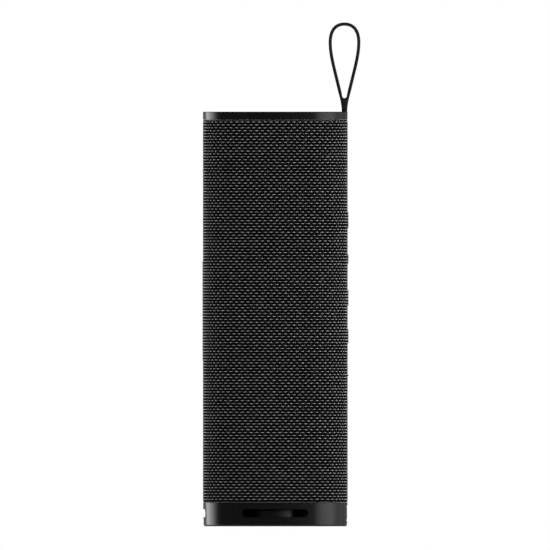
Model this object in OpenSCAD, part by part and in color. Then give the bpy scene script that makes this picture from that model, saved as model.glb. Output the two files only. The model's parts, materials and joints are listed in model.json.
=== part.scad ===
// Upright wireless shower speaker: a woven-fabric column with glossy end pieces, a
// rubber loop strap, five raised keys, two drivers and two passive radiators.
// Millimetres. The origin is the middle of the foot pad's underside, +Z is up, the
// keys are on the +X face, the badge and the drivers are on the -X face.

/* [Body] */
// Width across two opposite faces
body_w = 68.4; // [66:0.2:72]
// Height from the foot pad to the top rim
body_h = 196; // [190:1:204]
// Radius of the slightly bulged faces
face_r = 140; // [130:5:180]
// Radius of the upright corners
corner_r = 17.5; // [16:0.5:19]
// Thickness of the woven fabric
fabric_t = 0.8; // [0.6:0.1:1]
// Thickness of the perforated grille under the fabric
grille_t = 1.5; // [1.2:0.1:1.6]
// Height at which the fabric starts, above the base
fabric_z0 = 11.2; // [11:0.1:12]
// Height of the glossy top rim
cap_h = 3.7; // [3.6:0.1:4]

/* [Base] */
// Length of each vent slot
vent_len = 31.4; // [24:0.2:34]
// Height of each vent slot
vent_h = 3.8; // [3:0.1:4]
// Height of the vent slots' centre line
vent_z = 6.2; // [6:0.1:6.4]
// How far the foot pad stands proud of the base
foot_proud = 0.5; // [0.3:0.1:0.6]

/* [Strap] */
// Width of the rubber strap, front to back
strap_w = 6.5; // [5:0.5:8]
// Thickness of the strap's two legs
strap_t = 1.55; // [1.2:0.05:1.6]
// Distance of the strap's upright line from the body's axis
strap_x = 32.7; // [32.5:0.1:32.8]
// Height of the loop's middle line above the top rim
loop_h = 41.4; // [38:0.2:46]
// Half the greatest width of the loop, on its middle line
loop_half_w = 6.75; // [6:0.05:8]

/* [Keys] */
// Distance between neighbouring keys
key_pitch = 18.33; // [17:0.01:19]
// Height of the middle key
key_mid_z = 108.1; // [106:0.1:110]
// How far the key symbols stand proud of the fabric
key_proud = 0.38; // [0.35:0.01:0.6]
// Clear gap around each key symbol
key_gap = 0.2; // [0.15:0.01:0.3]

/* [Drivers] */
// Distance of each driver's centre from the fabric's mid height
driver_offset = 53; // [53:0.5:55]
// Distance of the drivers' seat from the body's axis
seat_x = 26.2; // [26:0.1:26.4]

/* [Hidden] */

$fn = 48;
half_w = body_w / 2;
cap_z0 = body_h - cap_h;
fabric_mid_z = (fabric_z0 + cap_z0) / 2;

// Insets of the nested shells from the body's outer surface
frame_out = fabric_t + 0.05;
frame_in = frame_out + grille_t;
tube_out = 3.2;
tube_wall = 2;
tube_in = tube_out + tube_wall;

// Heights of the sealed enclosure
plate_t = 3;
gasket_t = 0.8;
tube_z0 = fabric_z0 + plate_t + gasket_t;
upper_plate_z0 = cap_z0 - 1.5 - plate_t;
tube_z1 = upper_plate_z0 - gasket_t;

// The four corner screw columns, which every end piece shares
corner_xy = 22.5;
boss_r = 3.3;
boss_h = 12;
screw_r = 1.25;
screw_clear = 0.02;

// Wiggle room cut past a face, so that no cut ends on one
cut = 0.01;
far = 100;

// ---------- The body's outline ----------
// Each face is an arc of face_r and each corner an arc of corner_r, all tangent.
// face_a is half of a face arc's angle.
face_a = acos((face_r - half_w) / (sqrt(2) * (face_r - corner_r))) - 45;
corner_c = (face_r - corner_r) * sin(face_a);
face_steps = 4;
corner_steps = 12;

function turned(p, a) = [p.x * cos(a) - p.y * sin(a), p.x * sin(a) + p.y * cos(a)];
function face_point(inset, a) =
    [(face_r - inset) * cos(a) - (face_r - half_w), (face_r - inset) * sin(a)];
function corner_point(inset, a) =
    [corner_c + (corner_r - inset) * cos(a), corner_c + (corner_r - inset) * sin(a)];
function outline(inset) = [for (quarter = [0:3]) each concat(
    [for (i = [0:face_steps - 1])
        turned(face_point(inset, face_a * (2 * i / face_steps - 1)), 90 * quarter)],
    [for (i = [0:corner_steps - 1])
        turned(corner_point(inset, face_a + (90 - 2 * face_a) * i / corner_steps),
            90 * quarter)])];

// A prism of the outline, from z0 to z1
module slab(inset, z0, z1) {
    translate([0, 0, z0]) linear_extrude(z1 - z0) polygon(outline(inset));
}

// A tube between two insets
module tube(inset_out, inset_in, z0, z1) {
    difference() {
        slab(inset_out, z0, z1);
        slab(inset_in, z0 - 1, z1 + 1);
    }
}

// A closed solid through rings of the outline, each given as [height, inset]
module loft(rings) {
    n = len(outline(0));
    points = [for (r = rings) each [for (p = outline(r[1])) [p.x, p.y, r[0]]]];
    sides = [for (k = [0:len(rings) - 2], i = [0:n - 1])
        [k * n + i, (k + 1) * n + i, (k + 1) * n + (i + 1) % n, k * n + (i + 1) % n]];
    top = [for (i = [0:n - 1]) (len(rings) - 1) * n + n - 1 - i];
    polyhedron(points, concat([[for (i = [0:n - 1]) i]], sides, [top]));
}

module at_corners() {
    for (x = [-1, 1], y = [-1, 1]) translate([x * corner_xy, y * corner_xy, 0]) children();
}

// A flat oblong with round ends, length along x, standing in z from 0
module oblong(length, height, depth) {
    linear_extrude(depth) {
        square([length - height, height], center = true);
        for (s = [-1, 1]) translate([s * (length - height) / 2, 0]) circle(height / 2);
    }
}

// ---------- Screws ----------
// A pan head screw standing on z = 0 with its shank going down
module screw(head_r, head_h, shank_r, shank_len) {
    difference() {
        union() {
            cylinder(h = head_h, r = head_r);
            translate([0, 0, -shank_len]) cylinder(h = shank_len + cut, r = shank_r);
        }
        for (a = [0, 90]) rotate(a)
            translate([-head_r * 0.6, -0.25, head_h * 0.4]) cube([head_r * 1.2, 0.5, 2]);
    }
}

// ---------- Top cap ----------
pin_r = 0.6;
pin_len = strap_w + 6;
eye_r = 1.4;
pin_z = body_h - 1.8;
cap_opening_r = 24;
notch_half_w = strap_w / 2 + 0.3;
notch_in_x = strap_x - eye_r - 0.3;
notch_floor_z = cap_z0 + 0.2;

module strap_notch() {
    translate([0, notch_half_w, 0]) rotate([90, 0, 0]) linear_extrude(2 * notch_half_w)
        polygon([[notch_in_x, notch_floor_z], [half_w + 5, notch_floor_z],
            [half_w + 5, body_h + 5], [notch_in_x - 7.2, body_h + 5],
            [notch_in_x, pin_z - 0.5]]);
}

module top_cap() {
    edge = 0.3;
    color("#161616") difference() {
        union() {
            loft([[cap_z0, 0], [body_h - edge, 0], [body_h - edge * 0.3, edge * 0.3], [body_h, edge]]);
            slab(frame_in + 1, cap_z0 - 1.3, cap_z0 + cut);
        }
        translate([0, 0, cap_z0 - 2]) cylinder(h = cap_h + 5, r = cap_opening_r);
        translate([0, 0, cap_z0 - 2]) cylinder(h = 2, r = radiator_frame_r + 0.2);
        translate([0, 0, body_h - 0.8]) cylinder(h = 0.9, r1 = cap_opening_r, r2 = cap_opening_r + 0.9);
        at_corners() translate([0, 0, cap_z0 - 2]) cylinder(h = 2, r = 2.5);
        strap_notch();
        translate([strap_x, 0, pin_z]) rotate([90, 0, 0])
            cylinder(h = pin_len + 0.2, r = pin_r + screw_clear, center = true);
    }
}

module strap_pin() {
    color("silver") translate([strap_x, 0, pin_z]) rotate([90, 0, 0])
        cylinder(h = pin_len, r = pin_r, center = true);
}

// ---------- Strap ----------
// The strap is drawn in its own plane: x from its upright line, y above the rim.
fork_y = 8.7;
leg_root = [2.04, fork_y];
leg_wide = [loop_half_w, loop_h - 8.6];
leg_top = [0, loop_h];
leg_steps = 12;

function bezier(a, b, c, d, t) =
    a * pow(1 - t, 3) + 3 * b * t * pow(1 - t, 2) + 3 * c * t * t * (1 - t) + d * pow(t, 3);
// A point of the right leg's middle line: t from 0 at the fork to 1 at the widest
// point, and on to 2 at the top
function leg_point(t) = t < 1
    ? bezier(leg_root, leg_root + [2.84, 12], leg_wide - [0, 6.3], leg_wide, t)
    : bezier(leg_wide, leg_wide + [0, 5], leg_top + [4.7, 0], leg_top, t - 1);
function unit(v) = v / norm(v);
function leg_side(t, side) = let (v = unit(leg_point(min(t + 0.01, 2)) - leg_point(t - 0.01)))
    leg_point(t) + [v.y, -v.x] * side * strap_t / 2;
function mirrored(points) = [for (i = [len(points) - 1:-1:0]) [-points[i].x, points[i].y]];

stem_side = [for (i = [0:5]) bezier([1.3, -0.2], [1.35, 3.2], [1.9, 5.5],
    leg_side(0.02, 1), i / 6)];
leg_outside = [for (i = [0:2 * leg_steps - 1]) leg_side(0.02 + 1.98 * i / (2 * leg_steps), 1)];
leg_inside = [for (i = [0:2 * leg_steps - 1]) leg_side(0.02 + 1.98 * i / (2 * leg_steps), -1)];
crotch = [for (a = [-90:15:-15]) [1.05 * cos(a), 7.45 + 1.05 * sin(a)]];

strap_outer = concat([[1.3, body_h - pin_z - 3.6]], stem_side, leg_outside,
    [leg_side(2, 1)], mirrored(concat([[1.3, body_h - pin_z - 3.6]], stem_side, leg_outside)));
strap_inner = concat(crotch, leg_inside, [leg_side(2, -1)],
    mirrored(concat([for (i = [1:len(crotch) - 1]) crotch[i]], leg_inside)));

module strap() {
    color("#1c1c1c") translate([strap_x, strap_w / 2, body_h]) rotate([90, 0, 0]) difference() {
        linear_extrude(strap_w) {
            difference() {
                polygon(strap_outer);
                polygon(strap_inner);
            }
            translate([0, pin_z - body_h]) circle(eye_r);
        }
        translate([0, pin_z - body_h, -1]) cylinder(h = strap_w + 2, r = pin_r + 0.06);
    }
}

// ---------- Key symbols, drawn with y upward and each grown all round by g ----------
module bar(length, width, g) {
    square([length + 2 * g, width + 2 * g], center = true);
}

module symbol_ring(r, stroke, g) {
    difference() {
        circle(r + g);
        circle(r - stroke - g);
    }
}

module symbol_power(g) {
    difference() {
        translate([0, -0.25]) symbol_ring(3.55, 0.85, g);
        translate([0, 2.4]) square([2.9 - 2 * g, 4], center = true);
    }
    translate([0, 1.8]) bar(0.85, 3.9, g);
}

module symbol_link(g) {
    for (s = [-1, 1]) scale([s, 1]) intersection() {
        translate([1.6, 0]) symbol_ring(2.15, 0.75, g);
        translate([0.85 - g, -5]) square([8, 10]);
    }
    bar(3.2, 0.75, g);
}

module symbol_play(g) {
    h = 3.83 + 1.7 * g;
    translate([-1 - g, 0]) polygon([[-1.3, -h], [-1.3, h], [-1.3 + 1.6 * h, 0]]);
}

stroke_w = 0.8;
sign_w = 6.6;

module symbol_plus(g) {
    bar(sign_w, stroke_w, g);
    bar(stroke_w, sign_w, g);
}

module symbol_minus(g) {
    bar(sign_w, stroke_w, g);
}

module symbol(i, g) {
    if (i == 0) symbol_power(g);
    if (i == 1) symbol_link(g);
    if (i == 2) symbol_play(g);
    if (i == 3) symbol_plus(g);
    if (i == 4) symbol_minus(g);
}

function key_z(i) = key_mid_z + (2 - i) * key_pitch;

// Puts a drawing on the +X face: its x runs towards +Y, its y upward, its z outward
module on_keys_face(x, z) {
    translate([x, 0, z]) rotate([90, 0, 90]) children();
}

// ---------- Keys ----------
board_x = 25.6;
board_t = 1;
dome_h = 0.7;
pad_x0 = 29.2;
pad_x1 = 31.5;
pad_r = 6;
nub_r = 1.2;
nub_x0 = board_x + board_t + dome_h + 0.03;
carrier_x0 = board_x + 0.02;
carrier_x1 = 30.4;

module key(i) {
    color("#202020") {
        on_keys_face(pad_x0, key_z(i)) cylinder(h = pad_x1 - pad_x0, r = pad_r);
        on_keys_face(pad_x1 - cut, key_z(i))
            linear_extrude(half_w + key_proud - pad_x1 + cut) symbol(i, 0);
        on_keys_face(nub_x0, key_z(i)) cylinder(h = pad_x0 - nub_x0 + cut, r = nub_r);
    }
}

keys_z0 = key_z(4) - 9;
keys_z1 = key_z(0) + 9;

// The carrier stands on the pocket's floor around the board. Each key sits in a
// round well, and its nub goes through the well's floor to a switch dome.
module keypad_frame() {
    side = pocket_w / 2 - 0.02;
    color("#2a2a2a") difference() {
        translate([carrier_x0, -side, keys_z0 - 0.48])
            cube([carrier_x1 - carrier_x0, 2 * side, keys_z1 - keys_z0 + 0.96]);
        for (i = [0:4]) on_keys_face(pad_x0 - 0.4, key_z(i)) {
            cylinder(h = 3, r = pad_r + 0.3);
            translate([0, 0, -3]) cylinder(h = 4, r = nub_r + 0.4);
        }
        translate([board_x, -7.8, keys_z0 - 0.2])
            cube([board_t + dome_h + 0.3, 15.6, keys_z1 - keys_z0 + 0.4]);
    }
}

module button_board() {
    color("darkgreen") difference() {
        translate([board_x, -7.5, keys_z0 + 0.5]) cube([board_t, 15, keys_z1 - keys_z0 - 1]);
        for (z = [keys_z0 + 3, keys_z1 - 3]) on_keys_face(board_x - 1, z) cylinder(h = 3, r = 1.1);
    }
}

// Each dome is a shallow spherical cap of sheet steel on the board
module switch_domes() {
    base_r = 2.6;
    ball_r = (base_r * base_r + dome_h * dome_h) / (2 * dome_h);
    color("silver") for (i = [0:4]) on_keys_face(board_x + board_t, key_z(i)) difference() {
        intersection() {
            translate([0, 0, dome_h - ball_r]) sphere(ball_r, $fn = 96);
            cylinder(h = 5, r = base_r + 1);
        }
        translate([0, 0, dome_h - ball_r]) sphere(ball_r - 0.25, $fn = 96);
    }
}

// ---------- Fabric, grille and badge ----------
badge_len = 46.8;
badge_w = 7;
badge_t = 0.25;

module fabric_sleeve() {
    color("#1b1b1b") difference() {
        tube(0, fabric_t, fabric_z0, cap_z0);
        for (i = [0:4]) on_keys_face(half_w - 3, key_z(i)) linear_extrude(5) symbol(i, key_gap);
    }
}

// One upright row of windows out through the face at an angle, leaving out any
// window whose middle is between the two heights
window_rows = 12;
window_w = 9.8;
window_h = 10.6;

module windows(angle, y, z_from, z_to) {
    step = (cap_z0 - fabric_z0 - 10) / window_rows;
    for (r = [0:window_rows - 1]) {
        z = fabric_z0 + 5 + (r + 0.5) * step;
        if (z < z_from || z > z_to) rotate(angle)
            translate([20, y - window_w / 2, z - window_h / 2]) cube([20, window_w, window_h]);
    }
}

module grille_frame() {
    color("#101010") difference() {
        tube(frame_out, frame_in, fabric_z0 + 0.1, cap_z0 - 0.1);
        for (angle = [90, 180, 270], y = [-13, 0, 13]) windows(angle, y, far * 3, 0);
        for (y = [-14, 14]) windows(0, y, far * 3, 0);
        windows(0, 0, keys_z0 - 6, keys_z1 + 6);
        for (i = [0:4]) on_keys_face(half_w - 5, key_z(i)) cylinder(h = 8, r = 5.2);
    }
}

module badge_plate() {
    color("silver") intersection() {
        tube(-badge_t, -0.02, fabric_z0, cap_z0);
        translate([-half_w - 3, 0, fabric_mid_z]) rotate([0, 90, 0])
            oblong(badge_len, badge_w, 6);
    }
}

// ---------- Base ----------
base_z0 = foot_proud;
base_wall = 2.4;
base_plate_z1 = 3.4;
shelf_z0 = 9;
pad_rim = 0.65;
pad_inset = 3.6;
pad_z1 = 1.3;

module vent(angle) {
    rotate(angle) translate([0, -half_w + 8, vent_z]) rotate([90, 0, 0])
        oblong(vent_len, vent_h, 12);
}

port_z = vent_z;
port_open_w = 22.4;
port_open_h = 7;
cover_gap = 0.3;
hinge_x = 32.75;
hinge_y = port_open_w / 2 - cover_gap - 0.95;
hinge_r = 0.95;
hinge_pin_r = 0.4;
wire_hole_x = 27.4;
wire_hole_y = 6.05;

// An oblong with small round corners, length along x, standing in z from 0
module round_oblong(length, height, r, depth) {
    linear_extrude(depth) {
        square([length - 2 * r, height], center = true);
        square([length, height - 2 * r], center = true);
        for (x = [-1, 1], y = [-1, 1])
            translate([x * (length / 2 - r), y * (height / 2 - r)]) circle(r);
    }
}

module base_shell() {
    color("#161616") difference() {
        union() {
            difference() {
                loft([[base_z0, 0.62], [base_z0 + 0.1, 0.42], [base_z0 + 0.35, 0.3], [fabric_z0, 0.05]]);
                slab(base_wall, base_z0 - 1, shelf_z0);
                cylinder(h = 20, r = 25);
            }
            at_corners() translate([0, 0, base_plate_z1 + 0.1])
                cylinder(h = shelf_z0 - base_plate_z1, r = boss_r);
        }
        at_corners() cylinder(h = 20, r = screw_r + 0.1);
        for (angle = [0, -90, 180]) vent(angle);
        on_keys_face(half_w - 6, port_z) round_oblong(port_open_w, port_open_h, 0.8, 10);
        translate([hinge_x, hinge_y, 1.7]) cylinder(h = 9, r = hinge_pin_r + screw_clear);
        for (s = [-1, 1]) translate([wire_hole_x, s * wire_hole_y, 8]) cylinder(h = 5, r = 1);
    }
}

deflector_r = 23.5;
deflector_t = 1.2;
deflector_z1 = 8.2;

// An upright wall behind a vent, turned to face it, that hides the inside
module deflector(angle, half_angle) {
    reach = deflector_r + 5;
    rotate(angle) intersection() {
        difference() {
            cylinder(h = deflector_z1, r = deflector_r);
            translate([0, 0, -1]) cylinder(h = deflector_z1 + 2, r = deflector_r - deflector_t);
        }
        translate([0, 0, base_plate_z1 - 0.5]) linear_extrude(10)
            polygon([[0, 0], [-reach * tan(half_angle), -reach], [reach * tan(half_angle), -reach]]);
    }
}

module base_plate() {
    dome_r = 11;
    dome_top = 7.2;
    ball_r = (dome_r * dome_r + pow(dome_top - base_plate_z1, 2)) / (2 * (dome_top - base_plate_z1));
    color("#141414") difference() {
        union() {
            slab(base_wall + 0.1, base_z0, base_plate_z1);
            intersection() {
                translate([0, 0, dome_top - ball_r]) sphere(ball_r, $fn = 96);
                translate([0, 0, 3]) cylinder(h = 5, r = dome_r + 2);
            }
            deflector(0, 26);
            deflector(-90, 32);
            deflector(180, 43.5);
        }
        slab(pad_inset - 0.05, base_z0 - 1, pad_z1);
        at_corners() {
            cylinder(h = 20, r = screw_r + 0.1);
            translate([0, 0, pad_z1 - cut]) cylinder(h = 1.1, r = 2.4);
        }
    }
}

module foot_pad() {
    color("#262626") loft([[0, pad_rim + 0.25], [0.2, pad_rim], [base_z0, pad_rim],
        [base_z0, pad_inset], [pad_z1, pad_inset]]);
}

module base_screws() {
    color("dimgray") at_corners() translate([0, 0, pad_z1 + 1.05]) mirror([0, 0, 1])
        screw(2.2, 1, screw_r, 21);
}

// ---------- Charging port ----------
cover_w = port_open_w - 2 * cover_gap;
cover_h = port_open_h - 2 * cover_gap;
cover_x0 = 32.1;
socket_w = 8.94;
socket_h = 3.26;
socket_x0 = 24.3;
socket_x1 = 31.6;

module port_cover() {
    color("#1e1e1e") difference() {
        union() {
            intersection() {
                union() {
                    difference() {
                        on_keys_face(cover_x0, port_z) round_oblong(cover_w, cover_h, 0.5, 5);
                        translate([cover_x0 - 1, hinge_y, 0]) cube([5, 5, 20]);
                    }
                    translate([hinge_x, hinge_y, port_z - cover_h / 2])
                        cylinder(h = cover_h, r = hinge_r);
                }
                slab(0.25, 1, 12);
            }
            on_keys_face(socket_x1 - 0.9, port_z)
                oblong(7.8, 2, cover_x0 - socket_x1 + 0.9 + cut);
        }
        translate([hinge_x, hinge_y, 0]) cylinder(h = 20, r = hinge_pin_r + 0.05);
    }
}

module cover_pin() {
    color("silver") translate([hinge_x, hinge_y, 1.7]) cylinder(h = 9, r = hinge_pin_r);
}

module port_housing() {
    color("#1a1a1a") difference() {
        translate([22.4, -8.6, 3.5]) cube([8.4, 17.2, 5.4]);
        translate([23.6, -7.6, 4.5]) cube([far, 15.2, 0.02]);
        translate([23.6, -7.6, 4.5]) cube([6, 15.2, 3.4]);
        on_keys_face(28, port_z) oblong(socket_w + 0.1, socket_h + 0.1, 10);
        translate([21, -3, 6]) cube([4, 6, 1.5]);
        for (s = [-1, 1]) translate([wire_hole_x, s * wire_hole_y, 7]) cylinder(h = 3, r = 0.8);
    }
}

module usb_socket() {
    color("silver") {
        on_keys_face(socket_x0, port_z) difference() {
            oblong(socket_w, socket_h, socket_x1 - socket_x0);
            translate([0, 0, 1]) oblong(socket_w - 0.6, socket_h - 0.6, 10);
        }
        translate([socket_x0 + 1 - cut, -3.35, port_z - 0.35]) cube([4.9, 6.7, 0.7]);
    }
}

module port_board() {
    color("darkgreen") translate([23.7, -7.5, 4.5]) {
        cube([5.8, 2.9, 1]);
        translate([0, 12.1, 0]) cube([5.8, 2.9, 1]);
    }
}

// ---------- Sealed enclosure ----------
pocket_w = 17;
driver_z = [fabric_mid_z - driver_offset, fabric_mid_z + driver_offset];
wall_hole_r = 21.7;
standoff_z = [fabric_mid_z - 65, fabric_mid_z + 65];
standoff_y = 15.5;
main_board_x = 12.5;
main_board_t = 1.6;

// Turns a drawing so that its z points out of the -X face, its x upward
module outward_at(x, z) {
    translate([-x, 0, z]) rotate([0, -90, 0]) children();
}

module driver_seat(z) {
    outward_at(seat_x - 2, z) cylinder(h = 8, r = 25);
    outward_at(seat_x - 2, z) for (a = [45:90:315]) rotate(a) translate([24.6, 0, 0])
        cylinder(h = 8, r = 3.6);
}

module driver_cut(z) {
    outward_at(seat_x, z) {
        cylinder(h = 12, r = 23.4);
        for (a = [45:90:315]) rotate(a) translate([24.6, 0, 0]) {
            cylinder(h = 12, r = 3.3);
            translate([0, 0, -6]) cylinder(h = 7, r = 1);
        }
        translate([0, 0, -10]) cylinder(h = 20, r = wall_hole_r);
    }
}

module enclosure_tube() {
    color("#303030") difference() {
        union() {
            tube(tube_out, tube_in, tube_z0, tube_z1);
            intersection() {
                slab(tube_out, tube_z0, tube_z1);
                union() {
                    for (z = [tube_z0, tube_z1 - boss_h]) at_corners()
                        translate([0, 0, z]) cylinder(h = boss_h, r = boss_r);
                    for (z = driver_z) driver_seat(z);
                    translate([board_x - 2, -pocket_w / 2 - 2, keys_z0 - 2.5])
                        cube([20, pocket_w + 4, keys_z1 - keys_z0 + 5]);
                    for (y = [-1, 1], z = standoff_z)
                        translate([main_board_x + main_board_t, y * standoff_y, z])
                            rotate([0, 90, 0]) cylinder(h = 20, r = 2.6);
                }
            }
        }
        for (z = driver_z) driver_cut(z);
        translate([board_x, -pocket_w / 2, keys_z0 - 0.5])
            cube([20, pocket_w, keys_z1 - keys_z0 + 1]);
        translate([20, -4.4, ribbon_z - 0.6]) cube([10, 8.8, 1.2]);
        for (y = [-1, 1], z = standoff_z)
            translate([main_board_x, y * standoff_y, z]) rotate([0, 90, 0])
                cylinder(h = 10, r = 1 + screw_clear);
        at_corners() for (z = [tube_z0 - 1, tube_z1 - 9])
            translate([0, 0, z]) cylinder(h = 10, r = screw_r + screw_clear);
    }
}

module end_plate(z0, wire_holes) {
    color("#2c2c2c") difference() {
        slab(tube_out + 0.1, z0, z0 + plate_t);
        translate([0, 0, z0 - 1]) cylinder(h = plate_t + 2, r = 21.5);
        at_corners() translate([0, 0, z0 - 1]) cylinder(h = plate_t + 2, r = screw_r + 0.1);
        if (wire_holes) for (s = [-1, 1])
            translate([wire_hole_x, s * wire_hole_y, z0 - 1]) cylinder(h = plate_t + 2, r = 1);
    }
}

module gasket(z0) {
    color("#0c0c0c") tube(tube_out + 0.3, tube_in - 0.2, z0, z0 + gasket_t);
}

module upper_plate_screws() {
    color("dimgray") at_corners() translate([0, 0, upper_plate_z0 + plate_t])
        screw(2.1, 1.2, screw_r, 11);
}

// ---------- Passive radiators ----------
// Drawn with z outward and z = 0 on the frame's outer face
radiator_frame_r = 24.6;
roll_mid_r = 18.5;
roll_r = 3;
roll_t = 0.4;
roll_z = -0.4;
radiator_plate_r = roll_mid_r - roll_r - 0.05;

// A half round roll in profile, with a short leg down each side
module roll_profile(mid_r, r, t, z, leg) {
    translate([mid_r, z]) difference() {
        circle(r);
        circle(r - t);
        translate([-r - 1, -2 * r]) square([2 * r + 2, 2 * r]);
    }
    for (x = [mid_r - r, mid_r + r - t]) translate([x, z - leg]) square([t, leg + cut]);
}

module radiator_frame() {
    color("#181818") rotate_extrude()
        polygon([[roll_mid_r + roll_r + 0.02, -1.3], [radiator_frame_r, -1.3],
            [radiator_frame_r, 0], [22.2, 0], [roll_mid_r + roll_r + 0.02, -0.4]]);
}

module radiator_surround() {
    color("#121212") rotate_extrude() roll_profile(roll_mid_r, roll_r, roll_t, roll_z, 0.8);
}

module radiator_plate() {
    r = radiator_plate_r;
    color("#1d1d1d") rotate_extrude()
        polygon([[0, -3.6], [11, -3.6], [11, -1.2], [r, -1.2], [r, 0], [r - 0.6, 0.4],
            [11.5, 0.5], [10.8, 0.1], [0, 0.1]]);
}

module place_radiator(side) {
    if (side == "upper") translate([0, 0, cap_z0 - 0.2]) children();
    if (side == "lower") translate([0, 0, fabric_z0 - 1.3]) mirror([0, 0, 1]) children();
}

// ---------- Drivers ----------
// Drawn with z outward and z = 0 on the seat
flange_t = 1.2;
driver_roll_mid = 18.6;
driver_roll_r = 1.9;
basket_r = driver_roll_mid + driver_roll_r + 0.02;
yoke_z = -10.2;
coil_r0 = 9.4;
coil_r1 = 10.4;

module driver_basket() {
    color("#3a3a3a") difference() {
        union() {
            rotate_extrude() polygon([[basket_r, flange_t], [23, flange_t], [23, 0], [21.4, 0],
                [14.2, -9], [14.2, yoke_z], [11.6, yoke_z], [11.6, -9.2], [13.2, -9.2],
                [basket_r, -0.6]]);
            for (a = [45:90:315]) rotate(a) translate([24.6, 0, 0]) difference() {
                cylinder(h = flange_t, r = 3);
                translate([-8, -4, -1]) cube([5, 8, 4]);
            }
        }
        for (a = [45:90:315]) rotate(a) translate([24.6, 0, -1]) cylinder(h = 4, r = 1.1);
        for (a = [0:90:270]) rotate(a) translate([12, -5, -7.6]) cube([12, 10, 5.6]);
    }
}

module driver_yoke() {
    color("#8a8f94") rotate_extrude()
        polygon([[0, -19], [12.4, -19], [13, -18.4], [13, yoke_z], [10.9, yoke_z],
            [10.9, -17], [0, -17]]);
}

module driver_magnet() {
    color("#5b5f66") translate([0, 0, -17]) cylinder(h = 3.8, r = 8.6);
}

module driver_pole_plate() {
    color("#9a9fa4") translate([0, 0, -13.2]) cylinder(h = 2.6, r = 9);
}

module driver_coil() {
    color("#b06a3a") translate([0, 0, -15.2]) difference() {
        union() {
            cylinder(h = 8.7, r = coil_r1 - 0.4);
            cylinder(h = 5, r = coil_r1);
        }
        translate([0, 0, -1]) cylinder(h = 12, r = coil_r0);
    }
}

cone_t = 0.5;
cap_ball_r = 13;
dust_cap_r = 9.6;
cap_ball_z = -5.7 - sqrt(cap_ball_r * cap_ball_r - dust_cap_r * dust_cap_r);

module driver_cone() {
    lip = driver_roll_mid - driver_roll_r - 0.05;
    cap_a = asin(dust_cap_r / cap_ball_r);
    color("#262626") rotate_extrude() polygon(concat(
        [for (i = [0:6]) let (a = cap_a * i / 6)
            [cap_ball_r * sin(a), cap_ball_z + cap_ball_r * cos(a)]],
        [[lip - 0.8, -1], [lip - 0.6, -0.4], [lip, -0.4], [lip, -1.2],
            [coil_r1 + 0.3, -6.5], [coil_r0, -6.5]],
        [for (i = [6:-1:0]) let (a = cap_a * i / 6)
            [(cap_ball_r - cone_t) * sin(a), cap_ball_z + (cap_ball_r - cone_t) * cos(a)]]));
}

module driver_surround() {
    color("#121212") rotate_extrude()
        roll_profile(driver_roll_mid, driver_roll_r, 0.4, 0, 0.4);
}

// The spider is a disc with round corrugations, drawn as a zigzag in profile
module driver_spider() {
    r0 = coil_r1 - 0.35;
    r1 = 14.4;
    waves = 8;
    t = 0.3;
    top = [for (i = [0:waves]) [r0 + (r1 - r0) * i / waves, -7.4 + (i % 2) * 0.5]];
    color("#b8a060") rotate_extrude()
        polygon(concat(top, [for (i = [waves:-1:0]) top[i] - [0, t]]));
}

module driver_screws() {
    color("dimgray") for (z = driver_z) outward_at(seat_x + flange_t, z)
        for (a = [45:90:315]) rotate(a) translate([24.6, 0, 0]) screw(1.9, 1, 0.98, 5);
}

module driver_piece(piece) {
    if (piece == "basket") driver_basket();
    if (piece == "yoke") driver_yoke();
    if (piece == "magnet") driver_magnet();
    if (piece == "pole_plate") driver_pole_plate();
    if (piece == "coil") driver_coil();
    if (piece == "cone") driver_cone();
    if (piece == "surround") driver_surround();
    if (piece == "spider") driver_spider();
}

module radiator_piece(piece) {
    if (piece == "frame") radiator_frame();
    if (piece == "surround") radiator_surround();
    if (piece == "plate") radiator_plate();
}

// ---------- Battery ----------
cell_r = 9.15;
cell_len = 65;
cell_x = -10;
cell_y = 9.8;
cell_z0 = fabric_mid_z - cell_len / 2;
tab_half_w = 3;

module battery_cells() {
    color("#2f6fb0") for (s = [-1, 1]) translate([cell_x, s * cell_y, cell_z0]) {
        cylinder(h = cell_len - 0.8, r = cell_r);
        cylinder(h = cell_len, r = 3);
    }
}

module battery_cradle() {
    color("#383838") difference() {
        intersection() {
            union() {
                translate([cell_x - cell_r - 2.6, -cell_y - cell_r - 1, cell_z0 - 2])
                    cube([cell_r + 2.6, 2 * (cell_y + cell_r + 1), cell_len + 4]);
                for (y = [-9.5, 6.5]) translate([-half_w, y, cell_z0 + 7])
                    cube([15, 3, cell_len - 14]);
            }
            slab(tube_in + 0.02, cell_z0 - 5, cell_z0 + cell_len + 5);
        }
        for (s = [-1, 1]) translate([cell_x, s * cell_y, cell_z0 - 1.2])
            cylinder(h = cell_len + 2.4, r = cell_r + 0.3);
        translate([cell_x - cell_r + 1, -far, cell_z0 + 8]) cube([far, 2 * far, cell_len - 16]);
        translate([cell_x - tab_half_w - 0.3, -cell_y - tab_half_w - 0.3, cell_z0 - 0.6])
            cube([far, 2 * (cell_y + tab_half_w + 0.3), cell_len + 1.2]);
        for (s = [-1, 1]) translate([-far / 2, s * cell_y, cell_z0 + cell_len / 2])
            rotate([0, 90, 0]) cylinder(h = far, r = 6);
    }
}

module battery_tabs() {
    color("silver") for (z = [cell_z0 - 0.35, cell_z0 + cell_len + 0.05])
        translate([cell_x - tab_half_w, -cell_y - tab_half_w, z])
            cube([2 * tab_half_w, 2 * (cell_y + tab_half_w), 0.3]);
}

// ---------- Main board ----------
ribbon_z = key_mid_z - key_pitch / 2;

module main_board() {
    color("darkgreen") difference() {
        translate([main_board_x, -19, fabric_mid_z - 70]) cube([main_board_t, 38, 140]);
        for (y = [-1, 1], z = standoff_z)
            translate([main_board_x - 1, y * standoff_y, z]) rotate([0, 90, 0])
                cylinder(h = 4, r = 1.2);
    }
}

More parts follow.
